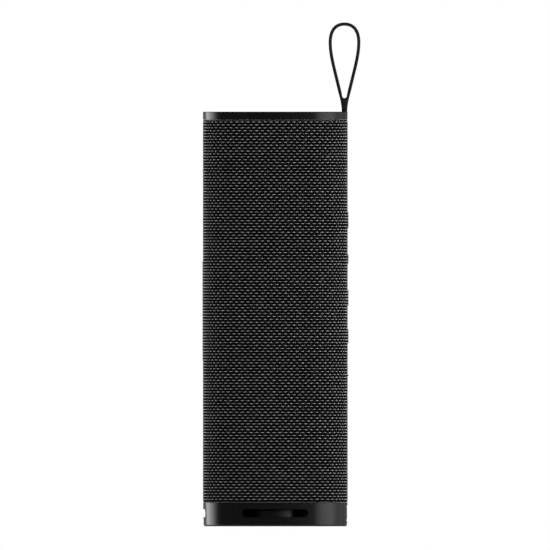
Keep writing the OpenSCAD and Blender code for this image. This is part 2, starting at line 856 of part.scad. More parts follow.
// A boxed part on the board's inner face, by its centre, size and height
module chip(y, z, w, l, h) {
    translate([main_board_x - h, y - w / 2, z - l / 2]) cube([h, w, l]);
}

module board_parts() {
    color("#181818") {
        chip(-6, fabric_mid_z + 45, 10, 10, 1.2);
        chip(8, fabric_mid_z + 45, 8, 8, 1);
        chip(0, fabric_mid_z - 45, 9, 9, 1);
    }
    color("#4a4a4a") for (y = [-13, 13], z = [-50, -40]) chip(y, fabric_mid_z + z, 6, 6, 3);
    color("ivory") for (y = [-11, 11], z = [-58, 58]) chip(y, fabric_mid_z + z, 6, 5, 4.5);
    color("#1f3f7f") for (y = [-9, 0, 9])
        translate([main_board_x - 7, y, fabric_mid_z - 28 + abs(y)]) rotate([0, 90, 0])
            cylinder(h = 7, r = 3.15);
}

module board_screws() {
    color("dimgray") for (y = [-1, 1], z = standoff_z)
        translate([main_board_x, y * standoff_y, z]) rotate([0, -90, 0]) screw(2, 1, 1, 7);
}

// ---------- Wiring ----------
// A wire of 8 sides through a list of points
module wire(path, r) {
    sides = 8;
    last = len(path) - 1;
    points = [for (k = [0:last]) let (
        v = unit(path[min(last, k + 1)] - path[max(0, k - 1)]),
        u = unit(cross(v, [0.3, 1, 0.2])), w = cross(v, u))
        each [for (i = [0:sides - 1]) let (g = 360 * i / sides)
            path[k] + r * (cos(g) * u + sin(g) * w)]];
    walls = [for (k = [0:last - 1], i = [0:sides - 1])
        [k * sides + i, k * sides + (i + 1) % sides,
            (k + 1) * sides + (i + 1) % sides, (k + 1) * sides + i]];
    polyhedron(points, concat([[for (i = [sides - 1:-1:0]) i]], walls,
        [[for (i = [0:sides - 1]) last * sides + i]]));
}

function curve(a, b, c, d) = [for (k = [0:12]) bezier(a, b, c, d, k / 12)];

board_back = main_board_x - 4.6;
board_front = main_board_x + main_board_t + 0.05;

module wiring_leads() {
    for (s = [-1, 1], y = [-1, 1]) {
        z = fabric_mid_z + s * driver_offset;
        plug_z = fabric_mid_z + s * 58;
        color(y < 0 ? "firebrick" : "#222222")
            wire(curve([-14.6, y * 11.9, z + s * 8], [-10, y * 14, z + s * 10],
                [0, y * 12, plug_z], [board_back, y * 11, plug_z]), 0.6);
    }
    for (y = [-1, 1]) color(y < 0 ? "firebrick" : "#222222") {
        wire(curve([cell_x + 1.8, y * cell_y, cell_z0 + cell_len + 1],
            [cell_x + 1.8, y * cell_y, cell_z0 + cell_len + 4],
            [5, y * 8, cell_z0 + cell_len + 4],
            [main_board_x - 0.65, y * 6, cell_z0 + cell_len]), 0.6);
        wire(concat([[wire_hole_x, y * wire_hole_y, 5.6]],
            curve([wire_hole_x, y * wire_hole_y, 15.5], [wire_hole_x, y * wire_hole_y, 24],
                [24, y * 6, 36], [board_front + 0.05, y * 6, 36])), 0.6);
    }
}

module ribbon_cable() {
    color("#c98a3a") translate([main_board_x + main_board_t + 0.05, -4, ribbon_z - 0.15])
        cube([board_x - main_board_x - main_board_t - 0.1, 8, 0.3]);
}

top_cap();
strap();
strap_pin();
fabric_sleeve();
grille_frame();
badge_plate();
base_shell();
base_plate();
foot_pad();
base_screws();
port_cover();
cover_pin();
port_housing();
usb_socket();
port_board();
key(0);  // key_power
key(1);  // key_link
key(2);  // key_play
key(3);  // key_volume_up
key(4);  // key_volume_down
keypad_frame();
button_board();
switch_domes();
enclosure_tube();
end_plate(fabric_z0, true);  // lower_end_plate
end_plate(upper_plate_z0, false);  // upper_end_plate
gasket(fabric_z0 + plate_t);  // lower_gasket
gasket(tube_z1);  // upper_gasket
upper_plate_screws();
for (side = ["lower", "upper"], piece = ["frame", "surround", "plate"])
    place_radiator(side) radiator_piece(piece);
for (i = [0, 1], piece = ["basket", "yoke", "magnet", "pole_plate", "coil", "cone",
    "surround", "spider"])
    outward_at(seat_x, driver_z[i]) driver_piece(piece);
driver_screws();
battery_cells();
battery_cradle();
battery_tabs();
main_board();
board_parts();
board_screws();
wiring_leads();
ribbon_cable();
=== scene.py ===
"""Upright wireless shower speaker, standing on a pale floor in soft studio light.

Lengths are in metres. The keys are on the +X face, the badge on the -X face, and
the camera looks along +Y. Every visible shell, the woven yarns, the strap, the keys
and the radiators are built here. The inner works keep their CAD shapes.
"""
import json
import math
from itertools import groupby

import bmesh
import bpy
import numpy as np
from mathutils import Matrix, Vector


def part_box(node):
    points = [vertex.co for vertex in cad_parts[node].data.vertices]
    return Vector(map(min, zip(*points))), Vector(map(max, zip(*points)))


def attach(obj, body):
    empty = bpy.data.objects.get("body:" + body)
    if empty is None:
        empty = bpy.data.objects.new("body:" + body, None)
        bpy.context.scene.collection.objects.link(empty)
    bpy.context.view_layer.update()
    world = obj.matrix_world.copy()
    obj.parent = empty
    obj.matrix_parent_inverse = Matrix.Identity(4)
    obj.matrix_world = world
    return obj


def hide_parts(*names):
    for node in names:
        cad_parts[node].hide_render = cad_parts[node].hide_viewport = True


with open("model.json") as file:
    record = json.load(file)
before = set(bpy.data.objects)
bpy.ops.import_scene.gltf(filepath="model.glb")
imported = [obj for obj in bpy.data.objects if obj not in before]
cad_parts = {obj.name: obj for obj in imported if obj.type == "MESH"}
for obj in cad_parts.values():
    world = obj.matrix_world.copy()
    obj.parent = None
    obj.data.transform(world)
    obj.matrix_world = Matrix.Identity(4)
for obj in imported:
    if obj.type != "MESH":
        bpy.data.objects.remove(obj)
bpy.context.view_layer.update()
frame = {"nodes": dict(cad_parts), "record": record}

MM = 0.001

# ---- driving sizes
fabric_low, fabric_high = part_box("fabric_sleeve")
cap_low, cap_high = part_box("top_cap")
HALF_W = fabric_high[0]
FABRIC_Z0 = fabric_low[2]
CAP_Z0 = fabric_high[2]
BODY_TOP = cap_high[2]
BASE_Z0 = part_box("base_shell")[0][2]

FACE_R = 140 * MM
CORNER_R = 17.5 * MM
FACE_A = math.acos((FACE_R - HALF_W) / (math.sqrt(2) * (FACE_R - CORNER_R))) - math.pi / 4
CORNER_C = (FACE_R - CORNER_R) * math.sin(FACE_A)

ROW_PITCH = 1.372 * MM       # between weft rows, up the fabric
TOP_ROW_Z = 191.14 * MM      # the highest row that isn't tucked under the cap
ROW_COUNT = 131              # rows between the two tucked ones
WARP_COUNT = 172             # upright yarns round the body, an even number
VENT = (31.4 * MM, 3.8 * MM, 6.2 * MM)          # length, height, middle height
PORT = (22.4 * MM, 7.0 * MM, 6.2 * MM)          # opening's length, height, middle
KEY_MID_Z = 108.1 * MM
KEY_PITCH = 18.33 * MM
CAP_OPENING_R = 24 * MM


# ---- the outline
def outline_at(turn, inset=0.0):
    """The point of the body's outline whose outward normal is turned by this
    angle from +X, and that normal."""
    quarter = round(turn / (math.pi / 2))
    local = turn - quarter * math.pi / 2
    if abs(local) <= FACE_A:
        x = (FACE_R - inset) * math.cos(local) - (FACE_R - HALF_W)
        y = (FACE_R - inset) * math.sin(local)
    else:
        side = 1 if local > 0 else -1
        x = CORNER_C + (CORNER_R - inset) * math.cos(local)
        y = side * CORNER_C + (CORNER_R - inset) * math.sin(local)
    c, s = math.cos(quarter * math.pi / 2), math.sin(quarter * math.pi / 2)
    return (Vector((x * c - y * s, x * s + y * c, 0)),
            Vector((math.cos(turn), math.sin(turn), 0)))


def outline_turns(face_steps=10, corner_steps=20):
    """Normal angles once round, evenly along each face arc and each corner arc."""
    turns = []
    for quarter in range(4):
        start = quarter * math.pi / 2
        turns += [start - FACE_A + 2 * FACE_A * i / face_steps for i in range(face_steps)]
        turns += [start + FACE_A + (math.pi / 2 - 2 * FACE_A) * i / corner_steps
                  for i in range(corner_steps)]
    return turns


def perimeter(inset):
    return 4 * ((FACE_R - inset) * 2 * FACE_A
                + (CORNER_R - inset) * (math.pi / 2 - 2 * FACE_A))


def turn_at_length(s, inset):
    """The normal angle at a distance s along the outline from the +X face's middle."""
    face = (FACE_R - inset) * FACE_A
    q, rest = divmod(s + face, perimeter(inset) / 4)
    start = q * math.pi / 2
    if rest <= 2 * face:
        return start - FACE_A + rest / (FACE_R - inset)
    return start + FACE_A + (rest - 2 * face) / (CORNER_R - inset)


def face_sag(u):
    """How far a face's surface falls back at a distance u from its middle."""
    return FACE_R - math.sqrt(FACE_R ** 2 - u ** 2)


# ---- mesh helpers
CREASE = 35.0                # degrees between two faces from which their edge is sharp


def new_object(name, data):
    obj = bpy.data.objects.new(name, data)
    bpy.context.scene.collection.objects.link(obj)
    return obj


def mesh_object(name, verts, faces):
    mesh = bpy.data.meshes.new(name)
    mesh.from_pydata([tuple(v) for v in verts], [], faces)
    mesh.validate()
    fix_normals(mesh)
    shade(mesh)
    return new_object(name, mesh)


def fix_normals(mesh, weld=0.0):
    """Turns every face outward, after joining vertices closer together than weld."""
    bm = bmesh.new()
    bm.from_mesh(mesh)
    if weld:
        bmesh.ops.remove_doubles(bm, verts=bm.verts, dist=weld)
    bmesh.ops.recalc_face_normals(bm, faces=bm.faces)
    bm.to_mesh(mesh)
    bm.free()


def shade(mesh, crease=CREASE):
    mesh.polygons.foreach_set("use_smooth", [True] * len(mesh.polygons))
    mesh.set_sharp_from_angle(angle=math.radians(crease))


def place(obj, where):
    """Moves every vertex to where(x, y, z)."""
    for v in obj.data.vertices:
        v.co = where(*v.co)


def ring_quads(a, b, n):
    """Faces between two rings of n vertices that start at a and at b."""
    return [(a + i, a + (i + 1) % n, b + (i + 1) % n, b + i) for i in range(n)]


def skin(rings, closed_profile):
    """Vertices and faces through rings of equal length. A closed profile joins the
    last ring to the first, and an open one is capped at both ends."""
    n, count = len(rings[0]), len(rings)
    verts = [v for ring in rings for v in ring]
    faces = []
    for k in range(count if closed_profile else count - 1):
        faces += ring_quads(k * n, ((k + 1) % count) * n, n)
    if not closed_profile:
        faces.append(tuple(range(n)))
        faces.append(tuple((count - 1) * n + i for i in range(n)))
    return verts, faces


def outline_ring(turns, z, inset):
    return [outline_at(t, inset)[0] + Vector((0, 0, z)) for t in turns]


def circle_ring(turns, z, r):
    """A circle with its points at the same bearings as the outline's."""
    return [outline_at(t)[0].normalized() * r + Vector((0, 0, z)) for t in turns]


def lathe(name, profile, steps=128, closed=True):
    """Turns (r, z) points about Z. Points on the axis share one vertex. A closed
    profile joins its last point to its first."""
    on_axis = 1e-7
    turns = [2 * math.pi * i / steps for i in range(steps)]
    verts, faces, index = [], [], []
    for r, z in profile:
        if r < on_axis:
            index.append([len(verts)] * steps)
            verts.append((0, 0, z))
        else:
            index.append(list(range(len(verts), len(verts) + steps)))
            verts += [(r * math.cos(a), r * math.sin(a), z) for a in turns]
    for a, b in zip(index, index[1:] + (index[:1] if closed else [])):
        for i in range(steps):
            j = (i + 1) % steps
            corners = tuple(dict.fromkeys((a[i], a[j], b[j], b[i])))
            if len(corners) > 2:
                faces.append(corners)
    return mesh_object(name, verts, faces)


def arc(cx, cy, r, start, end, steps):
    """Points of an arc in degrees, ends included."""
    turns = [math.radians(start + (end - start) * i / steps) for i in range(steps + 1)]
    return [(cx + r * math.cos(a), cy + r * math.sin(a)) for a in turns]


def oblong_sides(length, height, r, straight_steps=16, round_steps=8):
    """The top side of an oblong with rounded corners, from its +u end to its -u end,
    as (u, v, outward u, outward v). The bottom side mirrors it."""
    side = [(length / 2 - r + r * math.cos(a), height / 2 - r + r * math.sin(a),
             math.cos(a), math.sin(a))
            for a in (math.pi / 2 * i / round_steps for i in range(round_steps + 1))]
    half = length / 2 - r
    side += [(half - 2 * half * i / straight_steps, height / 2, 0.0, 1.0)
             for i in range(1, straight_steps)]
    side += [(-u, v, -a, b) for u, v, a, b in side[round_steps::-1]]
    return side


def face_loft(name, turn, middle_z, size, r, rings, upright=False, steps=(16, 8)):
    """A solid that follows one bulged face. Each ring is an oblong grown by an offset
    and set at a depth below the face; both ends are filled with strips. The oblong's
    length lies along the face, or up it where it is upright."""
    side = oblong_sides(*size, r, *steps)
    out = Vector((math.cos(turn), math.sin(turn), 0))
    along = Vector((-math.sin(turn), math.cos(turn), 0))
    up = Vector((0, 0, 1))
    n = len(side)
    ring_n = 2 * n
    verts, faces = [], []
    for offset, depth in rings:
        for sign, row in ((1, side), (-1, side[::-1])):
            for u, v, a, b in row:
                uu, vv = u + a * offset, sign * (v + b * offset)
                across, rise = (vv, uu) if upright else (uu, vv)
                verts.append(along * across + up * (middle_z + rise)
                             + out * (HALF_W - face_sag(across) - depth))
    for k in range(len(rings) - 1):
        faces += ring_quads(k * ring_n, (k + 1) * ring_n, ring_n)
    for base in (0, (len(rings) - 1) * ring_n):
        faces += [(base + i, base + i + 1, base + ring_n - 2 - i, base + ring_n - 1 - i)
                  for i in range(n - 1)]
    obj = mesh_object(name, verts, faces)
    fix_normals(obj.data, weld=1e-7)
    return obj


def join(name, *objs):
    """One object with the meshes of several."""
    bm = bmesh.new()
    for o in objs:
        o.data.transform(o.matrix_world)
        bm.from_mesh(o.data)
    mesh = bpy.data.meshes.new(name)
    bm.to_mesh(mesh)
    bm.free()
    for o in objs:
        bpy.data.objects.remove(o, do_unlink=True)
    fix_normals(mesh)
    shade(mesh)
    return new_object(name, mesh)


def evaluated_mesh(obj):
    return bpy.data.meshes.new_from_object(
        obj.evaluated_get(bpy.context.evaluated_depsgraph_get()))


def cut(obj, *cutters):
    """Cuts the cutters out of obj and removes them."""
    for cutter in cutters:
        mod = obj.modifiers.new("cut", "BOOLEAN")
        mod.operation = "DIFFERENCE"
        mod.solver = "EXACT"
        mod.object = cutter
    bpy.context.view_layer.update()
    done = evaluated_mesh(obj)
    obj.modifiers.clear()
    old, obj.data = obj.data, done
    name = old.name
    bpy.data.meshes.remove(old)
    done.name = name
    for cutter in cutters:
        bpy.data.objects.remove(cutter, do_unlink=True)
    shade(done)


def curve_prism(name, loops, depth, bevel, steps=3):
    """Closed loops of (x, y) filled and raised by depth along z, with rounded edges."""
    curve = bpy.data.curves.new(name, "CURVE")
    curve.dimensions = "2D"
    curve.fill_mode = "BOTH"
    curve.extrude = depth / 2 - bevel
    curve.bevel_depth = bevel
    curve.bevel_resolution = steps
    curve.offset = -bevel
    for loop in loops:
        spline = curve.splines.new("POLY")
        spline.points.add(len(loop) - 1)
        for point, (x, y) in zip(spline.points, loop):
            point.co = (x, y, 0, 1)
        spline.use_cyclic_u = True
    temp = new_object(name, curve)
    mesh = evaluated_mesh(temp)
    bpy.data.objects.remove(temp, do_unlink=True)
    bpy.data.curves.remove(curve)
    mesh.name = name
    fix_normals(mesh, weld=1e-6)
    shade(mesh)
    return new_object(name, mesh)


def wall_normals(obj):
    """Gives the upright outer wall the outline's exact normals, so that the cuts in
    it leave no marks in its reflections."""
    steepest, skin_depth, facing = 0.2, 0.6 * MM, 0.97
    mesh = obj.data
    turns = outline_turns(40, 80)
    places = np.array([outline_at(t)[0][:2] for t in turns])
    normals = [Vector(n.vector) for n in mesh.corner_normals]
    for poly in mesh.polygons:
        if abs(poly.normal.z) > steepest:
            continue
        mid = np.array(poly.center[:2])
        t = turns[int(np.argmin(((places - mid) ** 2).sum(axis=1)))]
        wall, out = outline_at(t)
        depth = (wall - Vector((*poly.center[:2], 0))).dot(out)
        if depth > skin_depth or poly.normal.dot(out) < facing:
            continue
        for i in poly.loop_indices:
            p = mesh.vertices[mesh.loops[i].vertex_index].co
            normals[i] = exact_normal(p, poly.normal.z)
    mesh.normals_split_custom_set(normals)


def exact_normal(p, rise):
    """The outline's normal at a point on or near it, tilted by the wall's own rise."""
    angle = math.atan2(p.y, p.x)
    quarter = round(angle / (math.pi / 2)) * math.pi / 2
    c, s = math.cos(-quarter), math.sin(-quarter)
    x, y = p.x * c - p.y * s, p.x * s + p.y * c
    if abs(y) <= FACE_R * math.sin(FACE_A):
        local = math.atan2(y, x + FACE_R - HALF_W)
    else:
        local = math.atan2(abs(y) - CORNER_C, x - CORNER_C) * (1 if y > 0 else -1)
    turn = quarter + local
    return Vector((math.cos(turn), math.sin(turn), rise)).normalized()


# ---- materials
def principled(name):
    mat = bpy.data.materials.new(name)
    mat.use_nodes = True
    return mat, mat.node_tree, mat.node_tree.nodes["Principled BSDF"]


def set_input(tree, socket, value):
    """Links the value where it is another node's socket, and sets it otherwise."""
    if isinstance(value, bpy.types.NodeSocket):
        tree.links.new(value, socket)
    else:
        socket.default_value = value


def set_inputs(tree, node, **values):
    """Sets or links sockets by name, with _ for each space."""
    for name, value in values.items():
        set_input(tree, node.inputs[name.replace("_", " ")], value)


def add_node(tree, kind, operation=None, **values):
    node = tree.nodes.new(kind)
    if operation:
        node.operation = operation
    set_inputs(tree, node, **values)
    return node


def noise_node(tree, vector, scale, detail=3.0, rough=0.5):
    return add_node(tree, "ShaderNodeTexNoise", Vector=vector, Scale=scale, Detail=detail,
                    Roughness=rough).outputs["Fac"]


def ramp(tree, value, low, high, start=0.3, end=0.7):
    """A colour from low to high as the value goes from start to end."""
    node = add_node(tree, "ShaderNodeValToRGB", Fac=value)
    for stop, position, color in zip(node.color_ramp.elements, (start, end), (low, high)):
        stop.position = position
        stop.color = (*color, 1)
    return node.outputs["Color"]


def spread(tree, value, low, high):
    """Stretches the middle half of a noise over low to high."""
    return add_node(tree, "ShaderNodeMapRange", Value=value, From_Min=0.25, From_Max=0.75,
                    To_Min=low, To_Max=high).outputs["Result"]


def math_node(tree, operation, *values):
    """A Math node on numbers or sockets."""
    node = add_node(tree, "ShaderNodeMath", operation)
    for socket, value in zip(node.inputs, values):
        set_input(tree, socket, value)
    return node.outputs[0]


def bump(tree, shader, height, strength, distance):
    node = add_node(tree, "ShaderNodeBump", Height=height, Strength=strength,
                    Distance=distance)
    set_inputs(tree, shader, Normal=node.outputs["Normal"])


def moulded(name, color, vary=0.25, roughness=(0.3, 0.4), metallic=0.0, grain=900.0,
            grain_depth=0.02 * MM, strength=0.15, specular=0.5, sheen=0.0):
    """Moulded, painted or plated material: broad colour drift, fine grain that breaks
    up the gloss, and a little relief."""
    drift_scale, smudge_scale = 35.0, 120.0
    mat, tree, shader = principled(name)
    where = tree.nodes.new("ShaderNodeTexCoord").outputs["Object"]
    low = [c * (1 - vary) for c in color]
    high = [c * (1 + vary) for c in color]
    drift = noise_node(tree, where, drift_scale, 4.0)
    smudges = noise_node(tree, where, smudge_scale)
    bump(tree, shader, noise_node(tree, where, grain, 2.0), strength, grain_depth)
    set_inputs(tree, shader, Base_Color=ramp(tree, drift, low, high), Metallic=metallic,
               Roughness=spread(tree, smudges, *roughness), Specular_IOR_Level=specular,
               Sheen_Weight=sheen, Sheen_Roughness=0.5)
    return mat


def yarn(name, dark, light, roughness, specular, crown_step=None, dip_shade=1.0):
    """Spun yarn. The UV map runs along the yarn in millimetres and round it, so the
    filaments follow its twist. Where crown_step is given, the colour is full on the
    crowns, twice that apart, and darker between them by the last factor: painted shade
    where the yarn dips under the upright yarns."""
    twist_angle, crown_power = math.radians(28), 2.4
    mat, tree, shader = principled(name)
    uv_map = tree.nodes.new("ShaderNodeUVMap")
    uv_map.uv_map = "yarn"
    uv = uv_map.outputs["UV"]
    twist = add_node(tree, "ShaderNodeMapping", Vector=uv, Rotation=(0, 0, twist_angle),
                     Scale=(1.2, 5.0, 1.0))
    strands = noise_node(tree, twist.outputs["Vector"], 2.2, 3.0, 0.6)
    where = tree.nodes.new("ShaderNodeTexCoord").outputs["Object"]
    patch = noise_node(tree, where, 420.0, 2.0)
    mix = add_node(tree, "ShaderNodeMix", Factor=0.45, A=strands, B=patch)
    color = ramp(tree, mix.outputs["Result"], dark, light, 0.36, 0.64)
    if crown_step:
        along = add_node(tree, "ShaderNodeSeparateXYZ", Vector=uv)
        turn = math_node(tree, "MULTIPLY", along.outputs["X"], math.pi / (crown_step / MM))
        lift = math_node(tree, "MULTIPLY_ADD", math_node(tree, "COSINE", turn), 0.5, 0.5)
        # painted shade: the colour is darkened towards each dip, where the yarn passes under an
        # upright yarn
        painted_dip_shade = math_node(tree, "MULTIPLY_ADD", math_node(tree, "POWER", lift, crown_power),
                         1 - dip_shade, dip_shade)
        color = add_node(tree, "ShaderNodeVectorMath", "SCALE", Vector=color,
                         Scale=painted_dip_shade).outputs["Vector"]
    set_inputs(tree, shader, Base_Color=color, Roughness=roughness, Specular_IOR_Level=specular)
    bump(tree, shader, strands, 0.35, 0.05 * MM)
    return mat


def grey(value):
    return (value, value, value)


SMOOTH = dict(grain=1500.0, grain_depth=0.004 * MM, strength=0.06)
gloss_black = moulded("gloss_black_plastic", grey(0.0012), 0.3, (0.1, 0.15), **SMOOTH)
satin_black = moulded("satin_black_plastic", grey(0.003), 0.3, (0.21, 0.26), specular=0.7,
                      **SMOOTH)
strap_rubber = moulded("strap_rubber", grey(0.0065), 0.2, (0.46, 0.56), grain=1800.0,
                       grain_depth=0.01 * MM, strength=0.12, specular=0.4)
pad_rubber = moulded("pad_rubber", grey(0.016), 0.25, (0.7, 0.82), grain=1400.0,
                     grain_depth=0.04 * MM, strength=0.35, specular=0.3)
key_plastic = moulded("key_plastic", grey(0.02), 0.2, (0.38, 0.46), grain=2200.0)
badge_metal = moulded("badge_metal", (0.46, 0.46, 0.47), 0.06, (0.26, 0.36), metallic=1.0,
                      grain=1600.0, grain_depth=0.006 * MM, strength=0.1)
backing_black = moulded("fabric_backing", grey(0.0015), 0.3, (0.85, 0.95), grain=1200.0,
                        strength=0.3, specular=0.02)
roll_rubber = moulded("roll_rubber", grey(0.008), 0.2, (0.42, 0.5), grain=1300.0,
                      specular=0.4)
radiator_face = moulded("radiator_face", (0.006, 0.006, 0.0062), 0.25, (0.26, 0.34),
                        grain=1600.0, grain_depth=0.01 * MM)
trim_black = moulded("trim_black", grey(0.01), 0.2, (0.4, 0.5), grain=1200.0, strength=0.2)

# The looks of the inner nodes, by their material's class
CLASS_LOOK = {
    "gloss_plastic": dict(roughness=(0.2, 0.3)),
    "matte_plastic": dict(roughness=(0.5, 0.62), strength=0.3),
    "rubber": dict(roughness=(0.6, 0.75), strength=0.3, specular=0.35),
    "fabric": dict(roughness=(0.8, 0.9), grain=2500.0, strength=0.6, sheen=0.2),
    "aluminium": dict(roughness=(0.25, 0.35), metallic=1.0, vary=0.06),
    "brushed_steel": dict(roughness=(0.3, 0.42), metallic=1.0, vary=0.1, strength=0.25),
    "chrome": dict(roughness=(0.1, 0.16), metallic=1.0, vary=0.05),
    "cast_iron": dict(roughness=(0.35, 0.5), metallic=0.8, vary=0.15, strength=0.4),
    "brass": dict(roughness=(0.25, 0.35), metallic=1.0, vary=0.12, strength=0.3),
    "painted_metal": dict(roughness=(0.4, 0.5), vary=0.15, strength=0.3),
}
SLOT_LOOKS = {m["slot"]: moulded("inner_" + m["slot"], m["base_color"][:3],
                                 **CLASS_LOOK[m["class"]])
              for m in frame["record"]["materials"]}
for part in frame["record"]["subparts"]:
    node_materials = frame["nodes"][part["node"]].data.materials
    node_materials.clear()
    node_materials.append(SLOT_LOOKS[part["material_slot"]])


def finish_piece(obj, mat, slot_name, body, *nodes):
    obj.data.materials.clear()
    obj.data.materials.append(mat)
    if nodes:
        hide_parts(*nodes)
    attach(obj, body)
    return obj


# ---- top cap
def build_cap():
    """The rim round the radiator's opening, with a slot for the strap's root."""
    turns = outline_turns()
    edge, flat = 0.28 * MM, 0.15 * MM
    flange_inset, flange_z = 3.35 * MM, cap_low[2]
    land = 0.2 * MM              # flat ring beside each rounded edge of the top
    lip, lip_r = CAP_OPENING_R + 0.9 * MM, 0.45 * MM
    lip_foot_z = BODY_TOP - 1.3 * MM
    collar_r = CAP_OPENING_R + 0.8 * MM
    rings = [outline_ring(turns, z, 0)
             for z in (CAP_Z0, CAP_Z0 + flat, BODY_TOP - edge - flat)]
    rings += [outline_ring(turns, z, inset)
              for inset, z in arc(edge, BODY_TOP - edge, edge, 180, 90, 5)]
    rings.append(outline_ring(turns, BODY_TOP, edge + land))
    rings.append(circle_ring(turns, BODY_TOP, lip + land))
    rings += [circle_ring(turns, BODY_TOP + z, lip + r)
              for r, z in arc(0, -lip_r, lip_r, 90, 180, 4)]
    rings += [circle_ring(turns, z, r) for z, r in (
        (lip_foot_z, CAP_OPENING_R), (CAP_Z0, CAP_OPENING_R), (CAP_Z0, collar_r),
        (flange_z, collar_r))]
    rings += [outline_ring(turns, z, flange_inset) for z in (flange_z, CAP_Z0)]
    cap = mesh_object("cap_rim", *skin(rings, True))
    clear, slope, beyond = 0.3 * MM, 7.2 * MM, 5 * MM
    slot_in, slot_floor = STRAP_X - EYE_R - clear, CAP_Z0 + 0.2 * MM
    side = [(slot_in, slot_floor), (HALF_W + beyond, slot_floor),
            (HALF_W + beyond, BODY_TOP + beyond), (slot_in - slope, BODY_TOP + beyond),
            (slot_in, PIN_Z - 0.5 * MM)]
    half = STRAP_W / 2 + clear
    n = len(side)
    verts = [(x, y, z) for y in (-half, half) for x, z in side]
    faces = [tuple(range(n)), tuple(range(n, 2 * n))] + ring_quads(0, n, n)
    cut(cap, mesh_object("slot_cutter", verts, faces))
    wall_normals(cap)
    return finish_piece(cap, gloss_black, "gloss_black", "housing", "top_cap")


# ---- strap
strap_low, strap_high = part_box("strap")
STRAP_W = strap_high[1] - strap_low[1]
STRAP_T = 1.55 * MM
STRAP_X = 32.7 * MM
PIN_Z = BODY_TOP - 1.8 * MM
PIN_HOLE_R = 0.66 * MM
EYE_R = 1.4 * MM
LOOP_H = 41.4 * MM
LOOP_HALF_W = 6.75 * MM


def flat_mm(across, up):
    """A point or step in the strap's own plane, from millimetres."""
    return Vector((across, up)) * MM


# On the right leg's middle line, from the foot of the strap at the cap's top
FORK = flat_mm(2.04, 8.7)
WIDEST = Vector((LOOP_HALF_W, LOOP_H - 8.6 * MM))
CREST = Vector((0, LOOP_H))


def bezier(a, b, c, d, t):
    return a * (1 - t) ** 3 + b * 3 * t * (1 - t) ** 2 + c * 3 * t * t * (1 - t) + d * t ** 3


def leg_point(t):
    """The right leg's middle line: from the fork at 0, by the widest point at 1, to
    the crest at 2."""
    if t < 1:
        return bezier(FORK, FORK + flat_mm(2.84, 12), WIDEST - flat_mm(0, 6.3), WIDEST, t)
    return bezier(WIDEST, WIDEST + flat_mm(0, 5), CREST + flat_mm(4.7, 0), CREST, t - 1)


def leg_side(t, side):
    """The leg's outer side for 1 and its inner side for -1."""
    step = 0.01
    v = (leg_point(min(t + step, 2)) - leg_point(max(0.0, t - step))).normalized()
    return leg_point(t) + Vector((v.y, -v.x)) * side * STRAP_T / 2


def mirrored(points):
    """The points in reverse order on the strap's other side."""
    return [Vector((-p.x, p.y)) for p in points[::-1]]


def flat_arc(up, r, start, end, steps):
    """An arc round a point of the strap's middle line, at that height."""
    return [Vector(p) for p in arc(0, up, r, start, end, steps)]


def build_strap():
    """A teardrop loop on a stem with an eye for the pin."""
    steps, stem_steps, start = 48, 12, 0.02
    legs = [start + (2 - start) * i / steps for i in range(steps)]
    stem = [bezier(flat_mm(1.3, -0.2), flat_mm(1.35, 3.2), flat_mm(1.9, 5.5),
                   leg_side(start, 1), i / stem_steps) for i in range(stem_steps)]
    eye_z = PIN_Z - BODY_TOP
    outside = flat_arc(eye_z, EYE_R, -90, -20, 6) + stem + [leg_side(t, 1) for t in legs]
    outer = outside + [leg_side(2, 1)] + mirrored(outside[1:])
    inside = flat_arc(7.45 * MM, 1.05 * MM, -90, -15, 8) + [leg_side(t, -1) for t in legs]
    inner = inside + [leg_side(2, -1)] + mirrored(inside[1:])
    pin_hole = flat_arc(eye_z, PIN_HOLE_R, 0, 345, 23)
    strap = curve_prism("strap_band", (outer, inner, pin_hole), STRAP_W, 0.42 * MM, 4)
    place(strap, lambda x, y, z: (STRAP_X + x, -z, BODY_TOP + y))
    fix_normals(strap.data)
    shade(strap.data, 50)
    return finish_piece(strap, strap_rubber, "strap_rubber", "strap", "strap")


# ---- base
DEFLECTORS = ((-90, 26), (180, 32), (90, 43.5))     # bearing and half angle, in degrees


def build_base():
    """The base's wall with its three vents and the port's opening."""
    turns = outline_turns()
    wall, shelf, hole_r = 2.4 * MM, 9 * MM, 25 * MM
    top_inset, low_inset = 0.05 * MM, 0.3 * MM
    taper_end, steps = 0.9 * MM, 9
    rings = [outline_ring(turns, FABRIC_Z0 - drop, inset) for drop, inset in
             ((0, 0.25 * MM), (0.06 * MM, 0.11 * MM), (0.2 * MM, top_inset))]
    for i in range(1, steps):
        z = FABRIC_Z0 + (taper_end - FABRIC_Z0) * i / steps
        rings.append(outline_ring(turns, z, top_inset + (low_inset - top_inset) * i / steps))
    rings += [outline_ring(turns, z, inset) for inset, z in
              arc(low_inset + 0.3 * MM, BASE_Z0 + 0.32 * MM, 0.3 * MM, 180, 262, 7)]
    rings += [outline_ring(turns, BASE_Z0, low_inset + 0.4 * MM),
              outline_ring(turns, BASE_Z0, wall), outline_ring(turns, shelf, wall),
              circle_ring(turns, shelf, hole_r), circle_ring(turns, FABRIC_Z0, hole_r)]
    base = mesh_object("base_rim", *skin(rings, True))
    vent_edge = [(0.75 * MM, -0.5 * MM), (0.25 * MM, 0.0), (0.06 * MM, 0.09 * MM),
                 (0.0, 0.26 * MM), (0.0, 8 * MM)]
    port_edge = [(0.4 * MM, -0.5 * MM), (0.12 * MM, 0.05 * MM), (0.0, 0.2 * MM),
                 (0.0, 6 * MM)]
    cutters = [face_loft("vent_cutter", math.radians(bearing), VENT[2], VENT[:2], VENT[1] / 2,
                         vent_edge) for bearing, _ in DEFLECTORS]
    cutters.append(face_loft("port_cutter", 0.0, PORT[2], PORT[:2], 0.8 * MM, port_edge))
    cut(base, *cutters)
    wall_normals(base)
    return finish_piece(base, gloss_black, "gloss_black", "housing", "base_shell")


